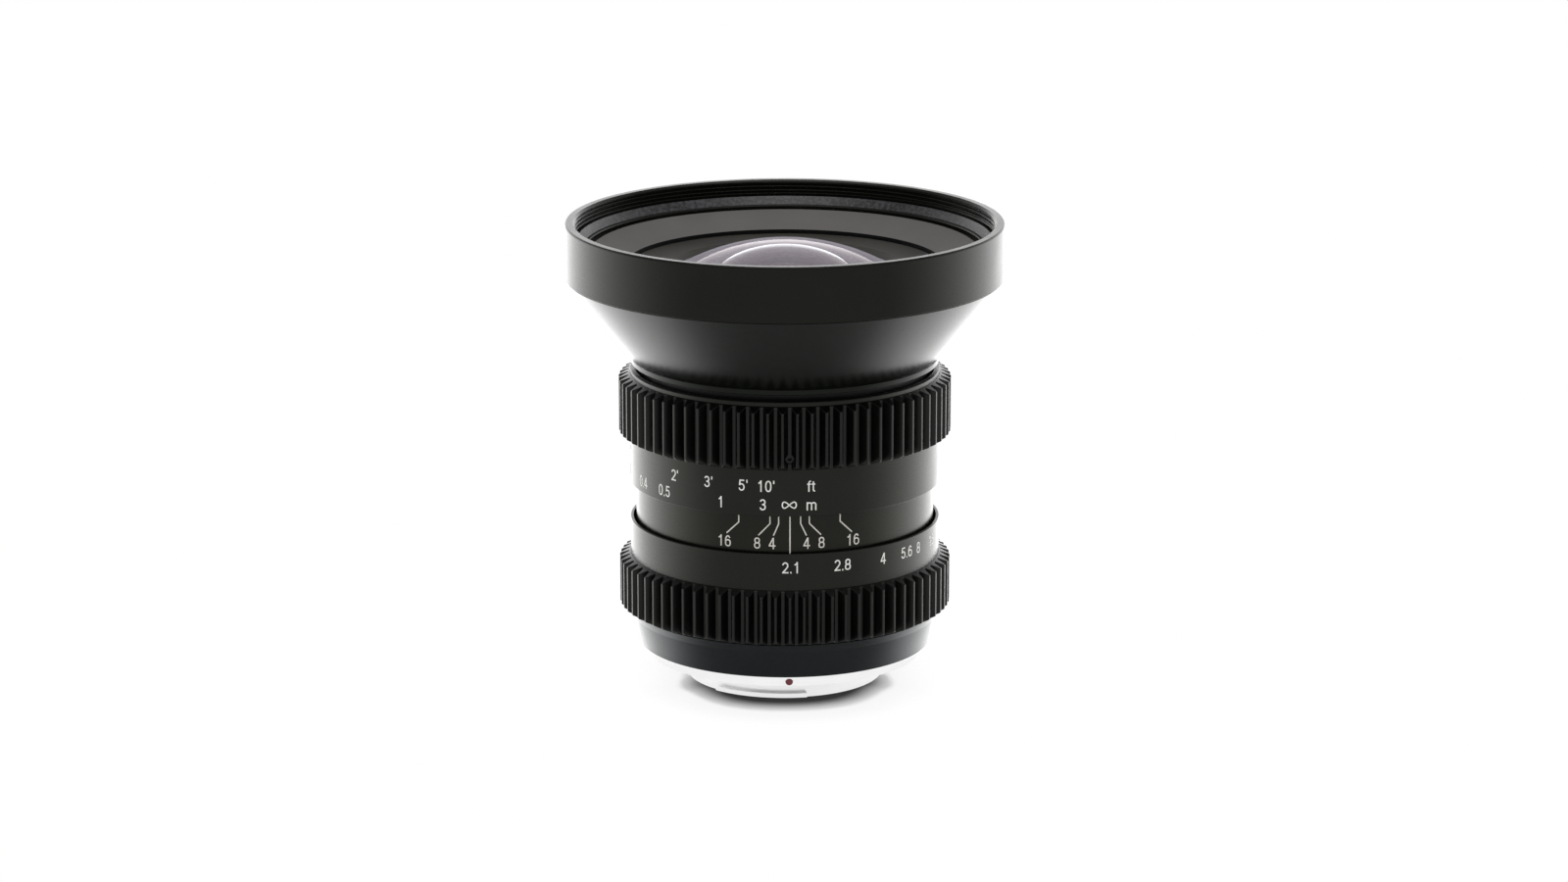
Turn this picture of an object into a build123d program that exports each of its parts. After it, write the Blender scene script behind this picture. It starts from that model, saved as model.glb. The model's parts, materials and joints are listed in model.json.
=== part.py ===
from build123d import *
import math
import os

os.makedirs("parts", exist_ok=True)

# The lens stands on its bayonet with the front glass up. The axis is Z, its origin is the rear end of the
# bayonet tube, and the index line is on the -Y side. An azimuth is counted from -Y towards +X, in degrees.

# Fits
run_gap = 0.05          # radial clearance of two pieces that turn or slide in each other
seat_gap = 0.02         # radial clearance of two pieces that are fixed in each other
end_gap = 0.05          # axial clearance of a turning piece
overrun = 1.0           # how far a cut runs past the face that it opens

# Bayonet mount
tube_wall = 1.75
tube_bore_step = 1.20
tube_length = 4.40
claw_reach = 1.05
claw_thickness = 0.80
claw_lift = 0.20
claw_count = 3
claw_span = 54.0
claw_middle = -16.4
flange_t = 2.05
flange_flare = 1.30
flange_top_step = 0.15
flange_bore_gap = 2.50
lock_hole_r = 1.10
lock_hole_depth = 1.20
lock_hole_azimuth = 118.0
dot_r = 0.67
dot_proud = 0.06
dot_depth = 0.90

# Light baffle inside the bayonet tube
baffle_wall = 0.80
baffle_plate_t = 0.70
baffle_rise = 0.60
window_width = 19.0
window_depth = 15.0
window_corner_r = 1.50

# Rear barrel
rear_barrel_h = 6.50
rear_floor_t = 2.70
rear_bore_gap = 0.20
rear_taper_step = 1.20
rear_taper_h = 5.05
rear_shoulder_step = 0.55
rear_top_step = 1.20

# Index barrel, fixed
index_wall = 3.30
index_seat_step = 0.50
index_overlap_h = 6.10
focus_pocket_depth = 3.50
focus_pocket_step = 1.90

# Iris ring
iris_gear_h = 10.20
iris_seat_h = 10.80
iris_scale_h = 16.95
iris_scale_wall = 0.55
iris_rim_gap = 0.50
iris_throw = 68.0
iris_teeth = 74
iris_screw_valley = 43

# Gear teeth, the same on both rings
gear_rim = 0.34
tooth_depth = 1.70
tooth_tip_width = 0.42
valley_width = 0.62
tooth_chamfer_h = 0.90
tooth_chamfer_start = 0.04

# Focus ring
index_show_h = 6.95
focus_scale_h = 20.20
focus_scale_wall = 1.00
focus_lip_h = 0.75
focus_gear_h = 11.65
focus_teeth = 72
focus_throw = 135.0
focus_lead = 1.40
nut_wall = 2.00
helicoid_gap = 0.07
helicoid_flange_lift = 2.50
helicoid_flange_h = 4.00
helicoid_collar_h = 1.90
grub_r = 0.85
grub_count = 3
grub_lift = 2.10
grub_sink = 0.30
grub_bite = 1.40
socket_r = 0.42
socket_depth = 0.80
stop_pin_r = 0.60
stop_slot_depth = 1.70

# Helicoid sleeve, slides along the axis
sleeve_wall = 1.98
sleeve_tail = 2.00
sleeve_gap = 1.20
sleeve_flange_h = 1.80
sleeve_flange_step = 2.40
key_width = 3.00
key_height = 4.00
key_drop = 2.45
key_end_gap = 0.30
key_count = 2
key_stud_r = 1.00
key_stud_length = 2.00

# Cone barrel
cone_foot_step = 1.70
cone_foot_h = 0.94
cone_h = 14.86
cone_floor_t = 1.80
cone_wall = 1.80
cone_top_gap = 1.40
cone_deck_t = 1.60

# Front hood
hood_h = 10.05
hood_bevel = 0.55
hood_floor_t = 0.75
hood_wall = 1.50
thread_pitch = 0.75
thread_depth = 0.41
thread_crest_share = 0.25
thread_lead_in = 0.35
thread_relief = 0.30
throat_step = 0.49
throat_flare = 1.00
throat_lip = 0.70
throat_h = 1.42

# Name ring
name_outer_h = 5.05
name_face_width = 6.38
name_groove_width = 0.80
name_groove_depth = 0.60
name_inner_h = 2.45
name_gap = 0.12

# Front cell and front retaining ring
front_ring_width = 7.30
front_cell_sink = 0.04
front_cell_ledge = 3.00
front_cell_foot_wall = 4.28
hood_floor_gap = 0.10
front_ring_t = 1.02
front_ring_bevel = 1.20
front_ring_bite = 0.50

# Glass: edge radius, rims, radii of curvature and edge heights. A bend is a radius of curvature over the clear
# radius that it spans, and a positive radius of curvature bulges outwards.
front_glass_edge_r = 20.60
front_glass_rim = 0.70
front_glass_rear_rim = 2.90
front_glass_front_bend = 2.010
front_glass_rear_bend = 1.294
front_glass_lift = 0.91
front_glass_edge_h = 5.40

second_glass_edge_r = 14.20
second_glass_rim = 0.80
second_glass_rear_rim = 3.60
second_glass_front_bend = 2.240
second_glass_rear_bend = 1.173
second_glass_sink = 1.36
second_glass_edge_h = 3.40
second_ring_h = 1.20
second_ring_wall = 1.60

barrel_clear_step = 2.70
barrel_glass_rim = 1.10
third_glass_curve = 26.00
third_glass_edge_h = 1.60
fourth_glass_curve = 30.00
fourth_glass_edge_h = 5.00
fifth_glass_curve = 22.00
fifth_glass_edge_h = 2.00
sixth_glass_front_curve = 40.00
sixth_glass_rear_curve = 24.00
sixth_glass_edge_h = 2.50
first_spacer_h = 4.40
second_spacer_h = 2.80
barrel_ring_h = 1.50
barrel_ring_sink = 1.85

# Lens barrel
barrel_step = 1.00
barrel_flange_h = 1.50
carriage_screw_step = 1.00
carriage_head_r = 0.95
carriage_head_margin = 0.05
barrel_seat_lift = 7.50
barrel_seat_taper_h = 1.60
barrel_seat_h = 1.50
barrel_rear_step = 2.50

# Iris housing, cam ring and blades
housing_step = 7.50
housing_wall = 1.75
housing_floor_t = 1.80
housing_h = 8.40
aperture_r = 6.70
aperture_min_r = 0.86
blade_count = 8
blade_t = 0.09
blade_step = 0.15
blade_lift = 0.06
blade_edge_step = 0.06
blade_band_width = 3.44
blade_start_azimuth = -8.0
blade_end_azimuth = 102.0
blade_ear_r = 1.00
blade_tail_r = 0.80
pivot_step = 1.30
drive_arm = 5.50
blade_pin_r = 0.40
blade_pin_gap = 0.02
blade_pivot_depth = 1.20
blade_drive_reach = 0.25
cam_lift = 0.15
cam_t = 1.70
cam_bore_step = 0.10
cam_slot_points = 9
fork_wall = 0.45
fork_depth_share = 0.62
drive_screw_r = 0.80
drive_screw_head_r = 1.10
drive_screw_head_sink = 0.15
window_margin = 5.0
window_rise = 0.25
cover_t = 0.85
cover_wall = 1.60
cover_bore_step = 0.90

# Rear cell
rear_cell_lift = 1.20
rear_cell_wall = 3.40
rear_cell_length = 10.00
rear_cell_flange_step = 3.50
rear_cell_flange_h = 1.60
rear_clear_step = 1.50
rear_glass_rim = 0.90
rear_cell_lip_step = 0.20
rear_cell_lip_h = 0.90
seventh_glass_front_curve = 24.00
seventh_glass_rear_curve = 18.00
seventh_glass_edge_h = 1.80
rear_spacer_h = 2.00
eighth_glass_front_curve = 30.00
eighth_glass_rear_curve = 20.00
eighth_glass_edge_h = 2.80
rear_ring_h = 1.50

# Screws
screw_r = 0.70
screw_head_r = 1.35
screw_head_h = 0.75
screw_slot_width = 0.30
screw_slot_depth = 0.35
screw_bite = 2.60
mount_screw_count = 4
mount_screw_azimuth = 45.0
barrel_screw_count = 4
barrel_head_r = 1.00
carriage_screw_count = 4
cell_screw_count = 3
housing_screw_count = 3

# Radii that follow from the sizes above, from the aperture outwards
blade_edge_r = aperture_r + blade_edge_step
blade_band_r = blade_edge_r + blade_band_width
pivot_r = blade_band_r + pivot_step
cam_bore_r = pivot_r + cam_bore_step
cover_bore_r = aperture_r + cover_bore_step
housing_r = pivot_r + housing_step
barrel_r = housing_r + barrel_step
barrel_glass_clear_r = aperture_r + barrel_clear_step
barrel_bore_r = barrel_glass_clear_r + barrel_glass_rim
barrel_rear_bore_r = barrel_bore_r + barrel_rear_step
rear_glass_clear_r = aperture_r + rear_clear_step
rear_cell_lip_r = rear_glass_clear_r + rear_cell_lip_step
rear_cell_bore_r = rear_glass_clear_r + rear_glass_rim
rear_cell_r = rear_cell_bore_r + rear_cell_wall
rear_cell_flange_r = rear_cell_r + rear_cell_flange_step
flange_bore_r = rear_cell_r + flange_bore_gap
tube_bore_r = flange_bore_r + tube_bore_step
tube_r = tube_bore_r + tube_wall
sleeve_bore_r = barrel_r + seat_gap
helicoid_r = sleeve_bore_r + sleeve_wall
index_bore_r = helicoid_r + nut_wall
index_r = index_bore_r + index_wall
rear_bore_r = housing_r + rear_bore_gap
rear_top_r = index_r + rear_top_step
rear_shoulder_r = rear_top_r - rear_shoulder_step
rear_bottom_r = rear_shoulder_r - rear_taper_step
flange_top_r = rear_bottom_r - flange_top_step
flange_face_r = flange_top_r - flange_flare
front_glass_clear_r = front_glass_edge_r - front_glass_rim
front_glass_rear_clear_r = front_glass_clear_r - front_glass_rear_rim
front_glass_front_curve = front_glass_clear_r * front_glass_front_bend
front_glass_rear_curve = front_glass_rear_clear_r * front_glass_rear_bend
second_glass_clear_r = second_glass_edge_r - second_glass_rim
second_glass_rear_clear_r = second_glass_clear_r - second_glass_rear_rim
second_glass_front_curve = second_glass_clear_r * second_glass_front_bend
second_glass_rear_curve = second_glass_rear_clear_r * second_glass_rear_bend

# Heights, and the radii of the rings and of the front, that follow from the sizes above
flange_top_z = tube_length + flange_t
rear_barrel_top_z = flange_top_z + rear_barrel_h
rear_floor_top_z = flange_top_z + rear_floor_t
index_lower_r = index_r - index_seat_step
iris_bottom_z = rear_barrel_top_z + end_gap
index_shoulder_z = iris_bottom_z + iris_seat_h + end_gap
iris_scale_r = index_r + iris_rim_gap + iris_scale_wall
iris_rim_bore_r = iris_scale_r - iris_scale_wall
iris_root_r = iris_scale_r + seat_gap + gear_rim
iris_tip_r = iris_root_r + tooth_depth
focus_bore_r = index_r + run_gap
focus_scale_r = focus_bore_r + focus_scale_wall
focus_root_r = focus_scale_r + seat_gap + gear_rim
focus_tip_r = focus_root_r + tooth_depth
iris_top_z = iris_bottom_z + iris_scale_h
focus_scale_bottom_z = iris_top_z + index_show_h
index_top_z = focus_scale_bottom_z + index_overlap_h
focus_scale_top_z = focus_scale_bottom_z + focus_scale_h
focus_gear_bottom_z = focus_scale_top_z - focus_gear_h
pocket_r = index_bore_r + focus_pocket_step
pocket_floor_z = index_top_z - focus_pocket_depth
collar_bottom_z = pocket_floor_z + end_gap
collar_top_z = collar_bottom_z + helicoid_collar_h
helicoid_bore_r = helicoid_r + helicoid_gap
neck_r = index_bore_r - run_gap
helicoid_flange_bottom_z = index_top_z + helicoid_flange_lift
helicoid_flange_top_z = helicoid_flange_bottom_z + helicoid_flange_h
grub_z = focus_gear_bottom_z + grub_lift
sleeve_top_z = focus_scale_top_z + focus_lip_h + sleeve_gap
key_bottom_z = pocket_floor_z - key_drop - key_height
sleeve_bottom_z = key_bottom_z - sleeve_tail
cone_floor_z = sleeve_top_z
cone_start_z = cone_floor_z + cone_foot_h
hood_bottom_z = cone_start_z + cone_h
hood_top_z = hood_bottom_z + hood_h
cone_deck_z = hood_bottom_z - cone_deck_t
name_outer_top_z = hood_bottom_z + name_outer_h
name_inner_top_z = hood_bottom_z + name_inner_h
front_glass_top_z = hood_bottom_z + front_glass_lift
front_cell_top_z = front_glass_top_z - front_cell_sink
front_ring_top_z = front_glass_top_z + front_ring_t
front_seat_z = front_glass_top_z - front_glass_edge_h
second_glass_top_z = front_seat_z - second_glass_sink
hood_floor_top_z = hood_bottom_z + hood_floor_t
throat_bottom_z = name_outer_top_z + name_groove_depth - seat_gap
throat_top_z = throat_bottom_z + throat_h
front_ring_foot_r = front_glass_edge_r - front_ring_bite
front_ring_bore_r = front_ring_foot_r + front_ring_bevel
front_cell_r = front_ring_bore_r + front_ring_width
cone_top_bore_r = front_cell_r + cone_top_gap
front_cell_flange_r = cone_top_bore_r + front_cell_ledge
hood_floor_bore_r = front_cell_flange_r + hood_floor_gap
name_inner_r = front_cell_r + name_gap
name_outer_r = name_inner_r + name_face_width
hood_bore_r = name_outer_r + name_groove_width
throat_r = hood_bore_r + throat_lip
throat_top_r = throat_r + throat_flare
thread_bore_r = throat_top_r + throat_step
thread_r = thread_bore_r + thread_depth
hood_r = thread_r + hood_wall
front_cell_foot_r = second_glass_edge_r + front_cell_foot_wall
carriage_screw_ring_r = helicoid_r + carriage_screw_step
barrel_flange_r = carriage_screw_ring_r + carriage_head_r + carriage_head_margin
sleeve_flange_r = barrel_flange_r + sleeve_flange_step
cone_foot_r = sleeve_flange_r + cone_foot_step
barrel_top_z = cone_floor_z + cone_floor_t + barrel_flange_h
front_cell_bottom_z = barrel_top_z
rear_cell_bottom_z = tube_length + rear_cell_lift
housing_bottom_z = rear_cell_bottom_z + rear_cell_length
barrel_bottom_z = housing_bottom_z + housing_h
barrel_seat_z = barrel_bottom_z + barrel_seat_lift
cell_flange_bottom_z = hood_bottom_z
housing_bore_r = housing_r - housing_wall
housing_floor_top_z = housing_bottom_z + housing_floor_t
first_blade_z = housing_floor_top_z + blade_lift
last_blade_top_z = first_blade_z + (blade_count - 1) * blade_step + blade_t
cam_bottom_z = last_blade_top_z + cam_lift
cam_top_z = cam_bottom_z + cam_t
cam_r = housing_bore_r - run_gap
drive_screw_z = (cam_bottom_z + cam_top_z) / 2
focus_travel = focus_lead * focus_throw / 360
blade_turn = math.degrees(2 * math.asin((blade_edge_r - aperture_min_r) / (2 * pivot_r)))
iris_screw_azimuth = (iris_screw_valley + 1 / 2) * 360 / iris_teeth


def section(points, azimuth=90.0):
    """A half section through the axis, from (radius, height) corners, in the half plane at an azimuth."""
    turn = math.radians(azimuth)
    outwards = (math.sin(turn), -math.cos(turn), 0)
    sideways = (-math.cos(turn), -math.sin(turn), 0)
    with BuildSketch(Plane(origin=(0, 0, 0), x_dir=outwards, z_dir=sideways)) as half:
        with BuildLine():
            Polyline(*points, close=True)
        make_face()
    return half.sketch


def band(inner_r, outer_r, bottom_z, top_z, azimuth=90.0):
    """The half section of a plain ring."""
    corners = [(inner_r, bottom_z), (outer_r, bottom_z), (outer_r, top_z), (inner_r, top_z)]
    return section(corners, azimuth)


def radial_plane(azimuth, height, radius=0.0):
    """A plane that faces outwards, square to the radius at an azimuth."""
    turn = math.radians(azimuth)
    outwards = (math.sin(turn), -math.cos(turn), 0)
    sideways = (math.cos(turn), math.sin(turn), 0)
    place = (radius * math.sin(turn), -radius * math.cos(turn), height)
    return Plane(origin=place, x_dir=sideways, z_dir=outwards)


def azimuth_points(radius, azimuths):
    """Places on a circle, in the XY plane, at the given azimuths."""
    turns = [math.radians(azimuth) for azimuth in azimuths]
    return [(radius * math.sin(turn), -radius * math.cos(turn)) for turn in turns]


def even_azimuths(count, start=0.0):
    """Azimuths of evenly spaced copies."""
    return [start + 360 * k / count for k in range(count)]


def sagitta(clear_r, curve):
    """How far a surface of a radius of curvature stands out over its clear radius."""
    bulge = abs(curve) - math.sqrt(curve**2 - clear_r**2)
    return math.copysign(bulge, curve)


def lens_section(edge_r, front_clear_r, rear_clear_r, front_curve, rear_curve, rear_edge_z, front_edge_z):
    """The half section of a lens with a flat seat outside each clear radius."""
    front_pole_z = front_edge_z + sagitta(front_clear_r, front_curve)
    rear_pole_z = rear_edge_z - sagitta(rear_clear_r, rear_curve)
    front_mid_r = front_clear_r / 2
    rear_mid_r = rear_clear_r / 2
    front_mid_z = front_pole_z - sagitta(front_mid_r, front_curve)
    rear_mid_z = rear_pole_z + sagitta(rear_mid_r, rear_curve)
    with BuildSketch(Plane.XZ) as half:
        with BuildLine():
            ThreePointArc((0, front_pole_z), (front_mid_r, front_mid_z), (front_clear_r, front_edge_z))
            Line((front_clear_r, front_edge_z), (edge_r, front_edge_z))
            Line((edge_r, front_edge_z), (edge_r, rear_edge_z))
            Line((edge_r, rear_edge_z), (rear_clear_r, rear_edge_z))
            ThreePointArc((rear_clear_r, rear_edge_z), (rear_mid_r, rear_mid_z), (0, rear_pole_z))
            Line((0, rear_pole_z), (0, front_pole_z))
        make_face()
    return half.sketch


def finish(part, name):
    """Label a piece and write its file."""
    part.label = name
    export_step(part, "parts/" + name + ".step")


def gear_outline(teeth, root_r, tip_r, first_azimuth):
    """Corners of a ring of teeth with straight flanks, the first tooth's middle at the given azimuth."""
    pitch = 360 / teeth
    root_half = pitch / 2 - math.degrees(valley_width / 2 / root_r)
    tip_half = math.degrees(tooth_tip_width / 2 / tip_r)
    corners = []
    for middle in even_azimuths(teeth, first_azimuth):
        corners += azimuth_points(root_r, [middle - root_half])
        corners += azimuth_points(tip_r, [middle - tip_half, middle + tip_half])
        corners += azimuth_points(root_r, [middle + root_half])
    return corners


def gear_envelope(bore_r, scale_r, tip_r, bottom_z, top_z):
    """The half section that bevels both ends of the teeth, cut well outside the tips."""
    foot_r = scale_r + tooth_chamfer_start
    slope = tooth_chamfer_h / (tip_r - foot_r)
    outer_r = tip_r + overrun
    drop = slope * (outer_r - foot_r)
    corners = [(bore_r, bottom_z), (foot_r, bottom_z), (outer_r, bottom_z + drop)]
    corners += [(outer_r, top_z - drop), (foot_r, top_z), (bore_r, top_z)]
    return section(corners)


# Mount flange: one turned piece with the bayonet tube and its claws
with BuildPart() as mount_flange:
    flange_corners = [(flange_bore_r, tube_length), (flange_face_r, tube_length)]
    flange_corners += [(flange_top_r, flange_top_z), (flange_bore_r, flange_top_z)]
    revolve(section(flange_corners), axis=Axis.Z)
    revolve(band(tube_bore_r, tube_r, 0, tube_length), axis=Axis.Z)
    for middle in even_azimuths(claw_count, claw_middle):
        claw_top_z = claw_lift + claw_thickness
        claw = band(tube_bore_r, tube_r + claw_reach, claw_lift, claw_top_z, middle - claw_span / 2)
        revolve(claw, axis=Axis.Z, revolution_arc=claw_span)
    mount_screw_ring_r = (tube_r + claw_reach + flange_face_r) / 2
    mount_screw_azimuths = even_azimuths(mount_screw_count, mount_screw_azimuth)
    mount_screw_places = azimuth_points(mount_screw_ring_r, mount_screw_azimuths)
    with BuildSketch(Plane.XY.offset(tube_length - overrun)):
        with Locations(*mount_screw_places):
            Circle(screw_r + seat_gap)
    extrude(amount=flange_t + 2 * overrun, mode=Mode.SUBTRACT)
    with BuildSketch(Plane.XY.offset(tube_length)):
        with Locations(*mount_screw_places):
            Circle(screw_head_r + seat_gap)
    extrude(amount=screw_head_h + seat_gap, mode=Mode.SUBTRACT)
    with BuildSketch(Plane.XY.offset(tube_length)):
        with Locations(*azimuth_points(mount_screw_ring_r, [lock_hole_azimuth])):
            Circle(lock_hole_r)
    extrude(amount=lock_hole_depth, mode=Mode.SUBTRACT)
    dot_z = (tube_length + flange_top_z) / 2
    dot_face_r = (flange_face_r + flange_top_r) / 2
    with BuildSketch(radial_plane(0, dot_z, dot_face_r - dot_depth)):
        Circle(dot_r + seat_gap)
    extrude(amount=dot_depth + overrun, mode=Mode.SUBTRACT)
finish(mount_flange.part, "mount_flange")

# Index dot: a painted plug in the side of the flange
with BuildPart() as index_dot:
    with BuildSketch(radial_plane(0, dot_z, dot_face_r - dot_depth)):
        Circle(dot_r)
    extrude(amount=dot_depth + dot_proud)
finish(index_dot.part, "index_dot")

# Mount screws: flat heads let into the flange's face, shanks up into the rear barrel
with BuildPart() as mount_screws:
    with BuildSketch(Plane.XY.offset(tube_length)):
        with Locations(*mount_screw_places):
            Circle(screw_head_r)
    extrude(amount=screw_head_h)
    with BuildSketch(Plane.XY.offset(tube_length)):
        with Locations(*mount_screw_places):
            Circle(screw_r)
    extrude(amount=flange_t + screw_bite / 2)
    with BuildSketch(Plane.XY.offset(tube_length)):
        with Locations(*mount_screw_places):
            Rectangle(2 * screw_head_r, screw_slot_width)
    extrude(amount=screw_slot_depth, mode=Mode.SUBTRACT)
finish(mount_screws.part, "mount_screws")

# Rear baffle: a black liner in the bayonet tube, with a rectangular window
with BuildPart() as rear_baffle:
    baffle_r = tube_bore_r - seat_gap
    revolve(band(0, baffle_r, tube_length - baffle_plate_t, tube_length), axis=Axis.Z)
    revolve(band(baffle_r - baffle_wall, baffle_r, baffle_rise, tube_length), axis=Axis.Z)
    with BuildSketch(Plane.XY.offset(tube_length - baffle_plate_t - overrun)):
        RectangleRounded(window_width, window_depth, window_corner_r)
    extrude(amount=baffle_plate_t + 2 * overrun, mode=Mode.SUBTRACT)
finish(rear_baffle.part, "rear_baffle")

# Rear barrel: the black collar that carries the flange and the index barrel
with BuildPart() as rear_barrel:
    rear_corners = [(rear_bore_r, flange_top_z), (rear_bottom_r, flange_top_z)]
    rear_corners += [(rear_shoulder_r, flange_top_z + rear_taper_h), (rear_top_r, rear_barrel_top_z)]
    rear_seat_r = index_lower_r + seat_gap
    rear_corners += [(rear_seat_r, rear_barrel_top_z), (rear_seat_r, rear_floor_top_z)]
    rear_corners += [(rear_bore_r, rear_floor_top_z)]
    revolve(section(rear_corners), axis=Axis.Z)
    with BuildSketch(Plane.XY.offset(flange_top_z)):
        with Locations(*mount_screw_places):
            Circle(screw_r + seat_gap)
    extrude(amount=screw_bite / 2 + seat_gap, mode=Mode.SUBTRACT)
    barrel_screw_ring_r = (index_bore_r + index_lower_r) / 2
    barrel_screw_places = azimuth_points(barrel_screw_ring_r, even_azimuths(barrel_screw_count))
    with BuildSketch(Plane.XY.offset(flange_top_z)):
        with Locations(*barrel_screw_places):
            Circle(screw_r + seat_gap)
    extrude(amount=rear_floor_t, mode=Mode.SUBTRACT)
    with BuildSketch(Plane.XY.offset(flange_top_z)):
        with Locations(*barrel_screw_places):
            Circle(barrel_head_r + seat_gap)
    extrude(amount=screw_head_h + seat_gap, mode=Mode.SUBTRACT)
finish(rear_barrel.part, "rear_barrel")

# Barrel screws: up through the rear barrel's floor into the index barrel
with BuildPart() as barrel_screws:
    with BuildSketch(Plane.XY.offset(flange_top_z)):
        with Locations(*barrel_screw_places):
            Circle(barrel_head_r)
    extrude(amount=screw_head_h)
    with BuildSketch(Plane.XY.offset(flange_top_z)):
        with Locations(*barrel_screw_places):
            Circle(screw_r)
    extrude(amount=rear_floor_t + screw_bite)
finish(barrel_screws.part, "barrel_screws")

# Index barrel: the fixed tube on which both rings turn
with BuildPart() as index_barrel:
    tube_corners = [(index_bore_r, rear_floor_top_z), (index_lower_r, rear_floor_top_z)]
    tube_corners += [(index_lower_r, index_shoulder_z), (index_r, index_shoulder_z), (index_r, index_top_z)]
    tube_corners += [(pocket_r, index_top_z), (pocket_r, pocket_floor_z), (index_bore_r, pocket_floor_z)]
    revolve(section(tube_corners), axis=Axis.Z)
    with BuildSketch(Plane.XY.offset(rear_floor_top_z)):
        with Locations(*barrel_screw_places):
            Circle(screw_r + seat_gap)
    extrude(amount=screw_bite + seat_gap, mode=Mode.SUBTRACT)
    slot_half_h = drive_screw_r + window_rise
    slot_start = iris_screw_azimuth - iris_throw - window_margin
    drive_slot = band(
        index_bore_r - overrun,
        index_r + overrun,
        drive_screw_z - slot_half_h,
        drive_screw_z + slot_half_h,
        slot_start,
    )
    revolve(drive_slot, axis=Axis.Z, revolution_arc=iris_throw + 2 * window_margin, mode=Mode.SUBTRACT)
    key_z = key_bottom_z + key_height / 2
    for azimuth in even_azimuths(key_count, 90.0):
        with BuildSketch(radial_plane(azimuth, key_z, index_bore_r - overrun)):
            Circle(key_stud_r + seat_gap)
        extrude(amount=key_stud_length + overrun, mode=Mode.SUBTRACT)
finish(index_barrel.part, "index_barrel")

# Guide keys: fixed blocks in slots of the sleeve, so that the optics slide without turning
with BuildPart() as guide_keys:
    key_inner_r = sleeve_bore_r + key_end_gap
    key_outer_r = math.sqrt(index_bore_r**2 - (key_width / 2) ** 2)
    for azimuth in even_azimuths(key_count, 90.0):
        with BuildSketch(radial_plane(azimuth, key_z, key_inner_r)):
            Rectangle(key_width, key_height)
        extrude(amount=key_outer_r - key_inner_r)
        with BuildSketch(radial_plane(azimuth, key_z, key_outer_r)):
            Circle(key_stud_r)
        extrude(amount=index_bore_r + key_stud_length - seat_gap - key_outer_r)
finish(guide_keys.part, "guide_keys")

# Focus retainer: a ring screwed into the index barrel's mouth, over the helicoid's collar
with BuildPart() as focus_retainer:
    retainer_bottom_z = collar_top_z + end_gap
    revolve(band(index_bore_r, pocket_r - seat_gap, retainer_bottom_z, index_top_z), axis=Axis.Z)
    stop_ring_r = (index_bore_r + pocket_r) / 2
    with BuildSketch(Plane.XY.offset(retainer_bottom_z - overrun)):
        with Locations(*azimuth_points(stop_ring_r, [180.0])):
            Circle(stop_pin_r + seat_gap)
    extrude(amount=index_top_z - retainer_bottom_z + 2 * overrun, mode=Mode.SUBTRACT)
finish(focus_retainer.part, "focus_retainer")

# Focus stop pin: stands in the retainer and runs in a curved slot under the helicoid's flange
with BuildPart() as focus_stop_pin:
    with BuildSketch(Plane.XY.offset(retainer_bottom_z)):
        with Locations(*azimuth_points(stop_ring_r, [180.0])):
            Circle(stop_pin_r)
    extrude(amount=helicoid_flange_bottom_z + stop_slot_depth - end_gap - retainer_bottom_z)
finish(focus_stop_pin.part, "focus_stop_pin")

# Focus helicoid: turns in the index barrel, its thread drives the sleeve
with BuildPart() as focus_helicoid:
    nut_corners = [(helicoid_bore_r, collar_bottom_z), (pocket_r - run_gap, collar_bottom_z)]
    nut_corners += [(pocket_r - run_gap, collar_top_z), (neck_r, collar_top_z)]
    nut_corners += [(neck_r, helicoid_flange_bottom_z), (focus_bore_r - seat_gap, helicoid_flange_bottom_z)]
    nut_corners += [(focus_bore_r - seat_gap, helicoid_flange_top_z)]
    nut_corners += [(helicoid_bore_r, helicoid_flange_top_z)]
    revolve(section(nut_corners), axis=Axis.Z)
    stop_half_w = stop_pin_r + run_gap
    stop_end_angle = math.degrees(stop_half_w / stop_ring_r)
    stop_slot = band(
        stop_ring_r - stop_half_w,
        stop_ring_r + stop_half_w,
        helicoid_flange_bottom_z,
        helicoid_flange_bottom_z + stop_slot_depth,
        180.0 - focus_throw - stop_end_angle,
    )
    revolve(stop_slot, axis=Axis.Z, revolution_arc=focus_throw + 2 * stop_end_angle, mode=Mode.SUBTRACT)
    grub_end_r = focus_bore_r - grub_bite
    for azimuth in even_azimuths(grub_count):
        with BuildSketch(radial_plane(azimuth, grub_z, grub_end_r)):
            Circle(grub_r + seat_gap)
        extrude(amount=grub_bite + overrun, mode=Mode.SUBTRACT)
finish(focus_helicoid.part, "focus_helicoid")

# Focus scale ring: the sleeve with the distance numbers, its bevelled top edge shows above the gear
with BuildPart() as focus_scale_ring:
    scale_corners = [(focus_bore_r, focus_scale_bottom_z), (focus_scale_r, focus_scale_bottom_z)]
    scale_corners += [(focus_scale_r, focus_scale_top_z), (focus_bore_r, focus_scale_top_z + focus_lip_h)]
    revolve(section(scale_corners), axis=Axis.Z)
    for azimuth in even_azimuths(grub_count):
        with BuildSketch(radial_plane(azimuth, grub_z, focus_bore_r - overrun)):
            Circle(grub_r + seat_gap)
        extrude(amount=focus_scale_wall + 2 * overrun, mode=Mode.SUBTRACT)
finish(focus_scale_ring.part, "focus_scale_ring")

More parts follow.
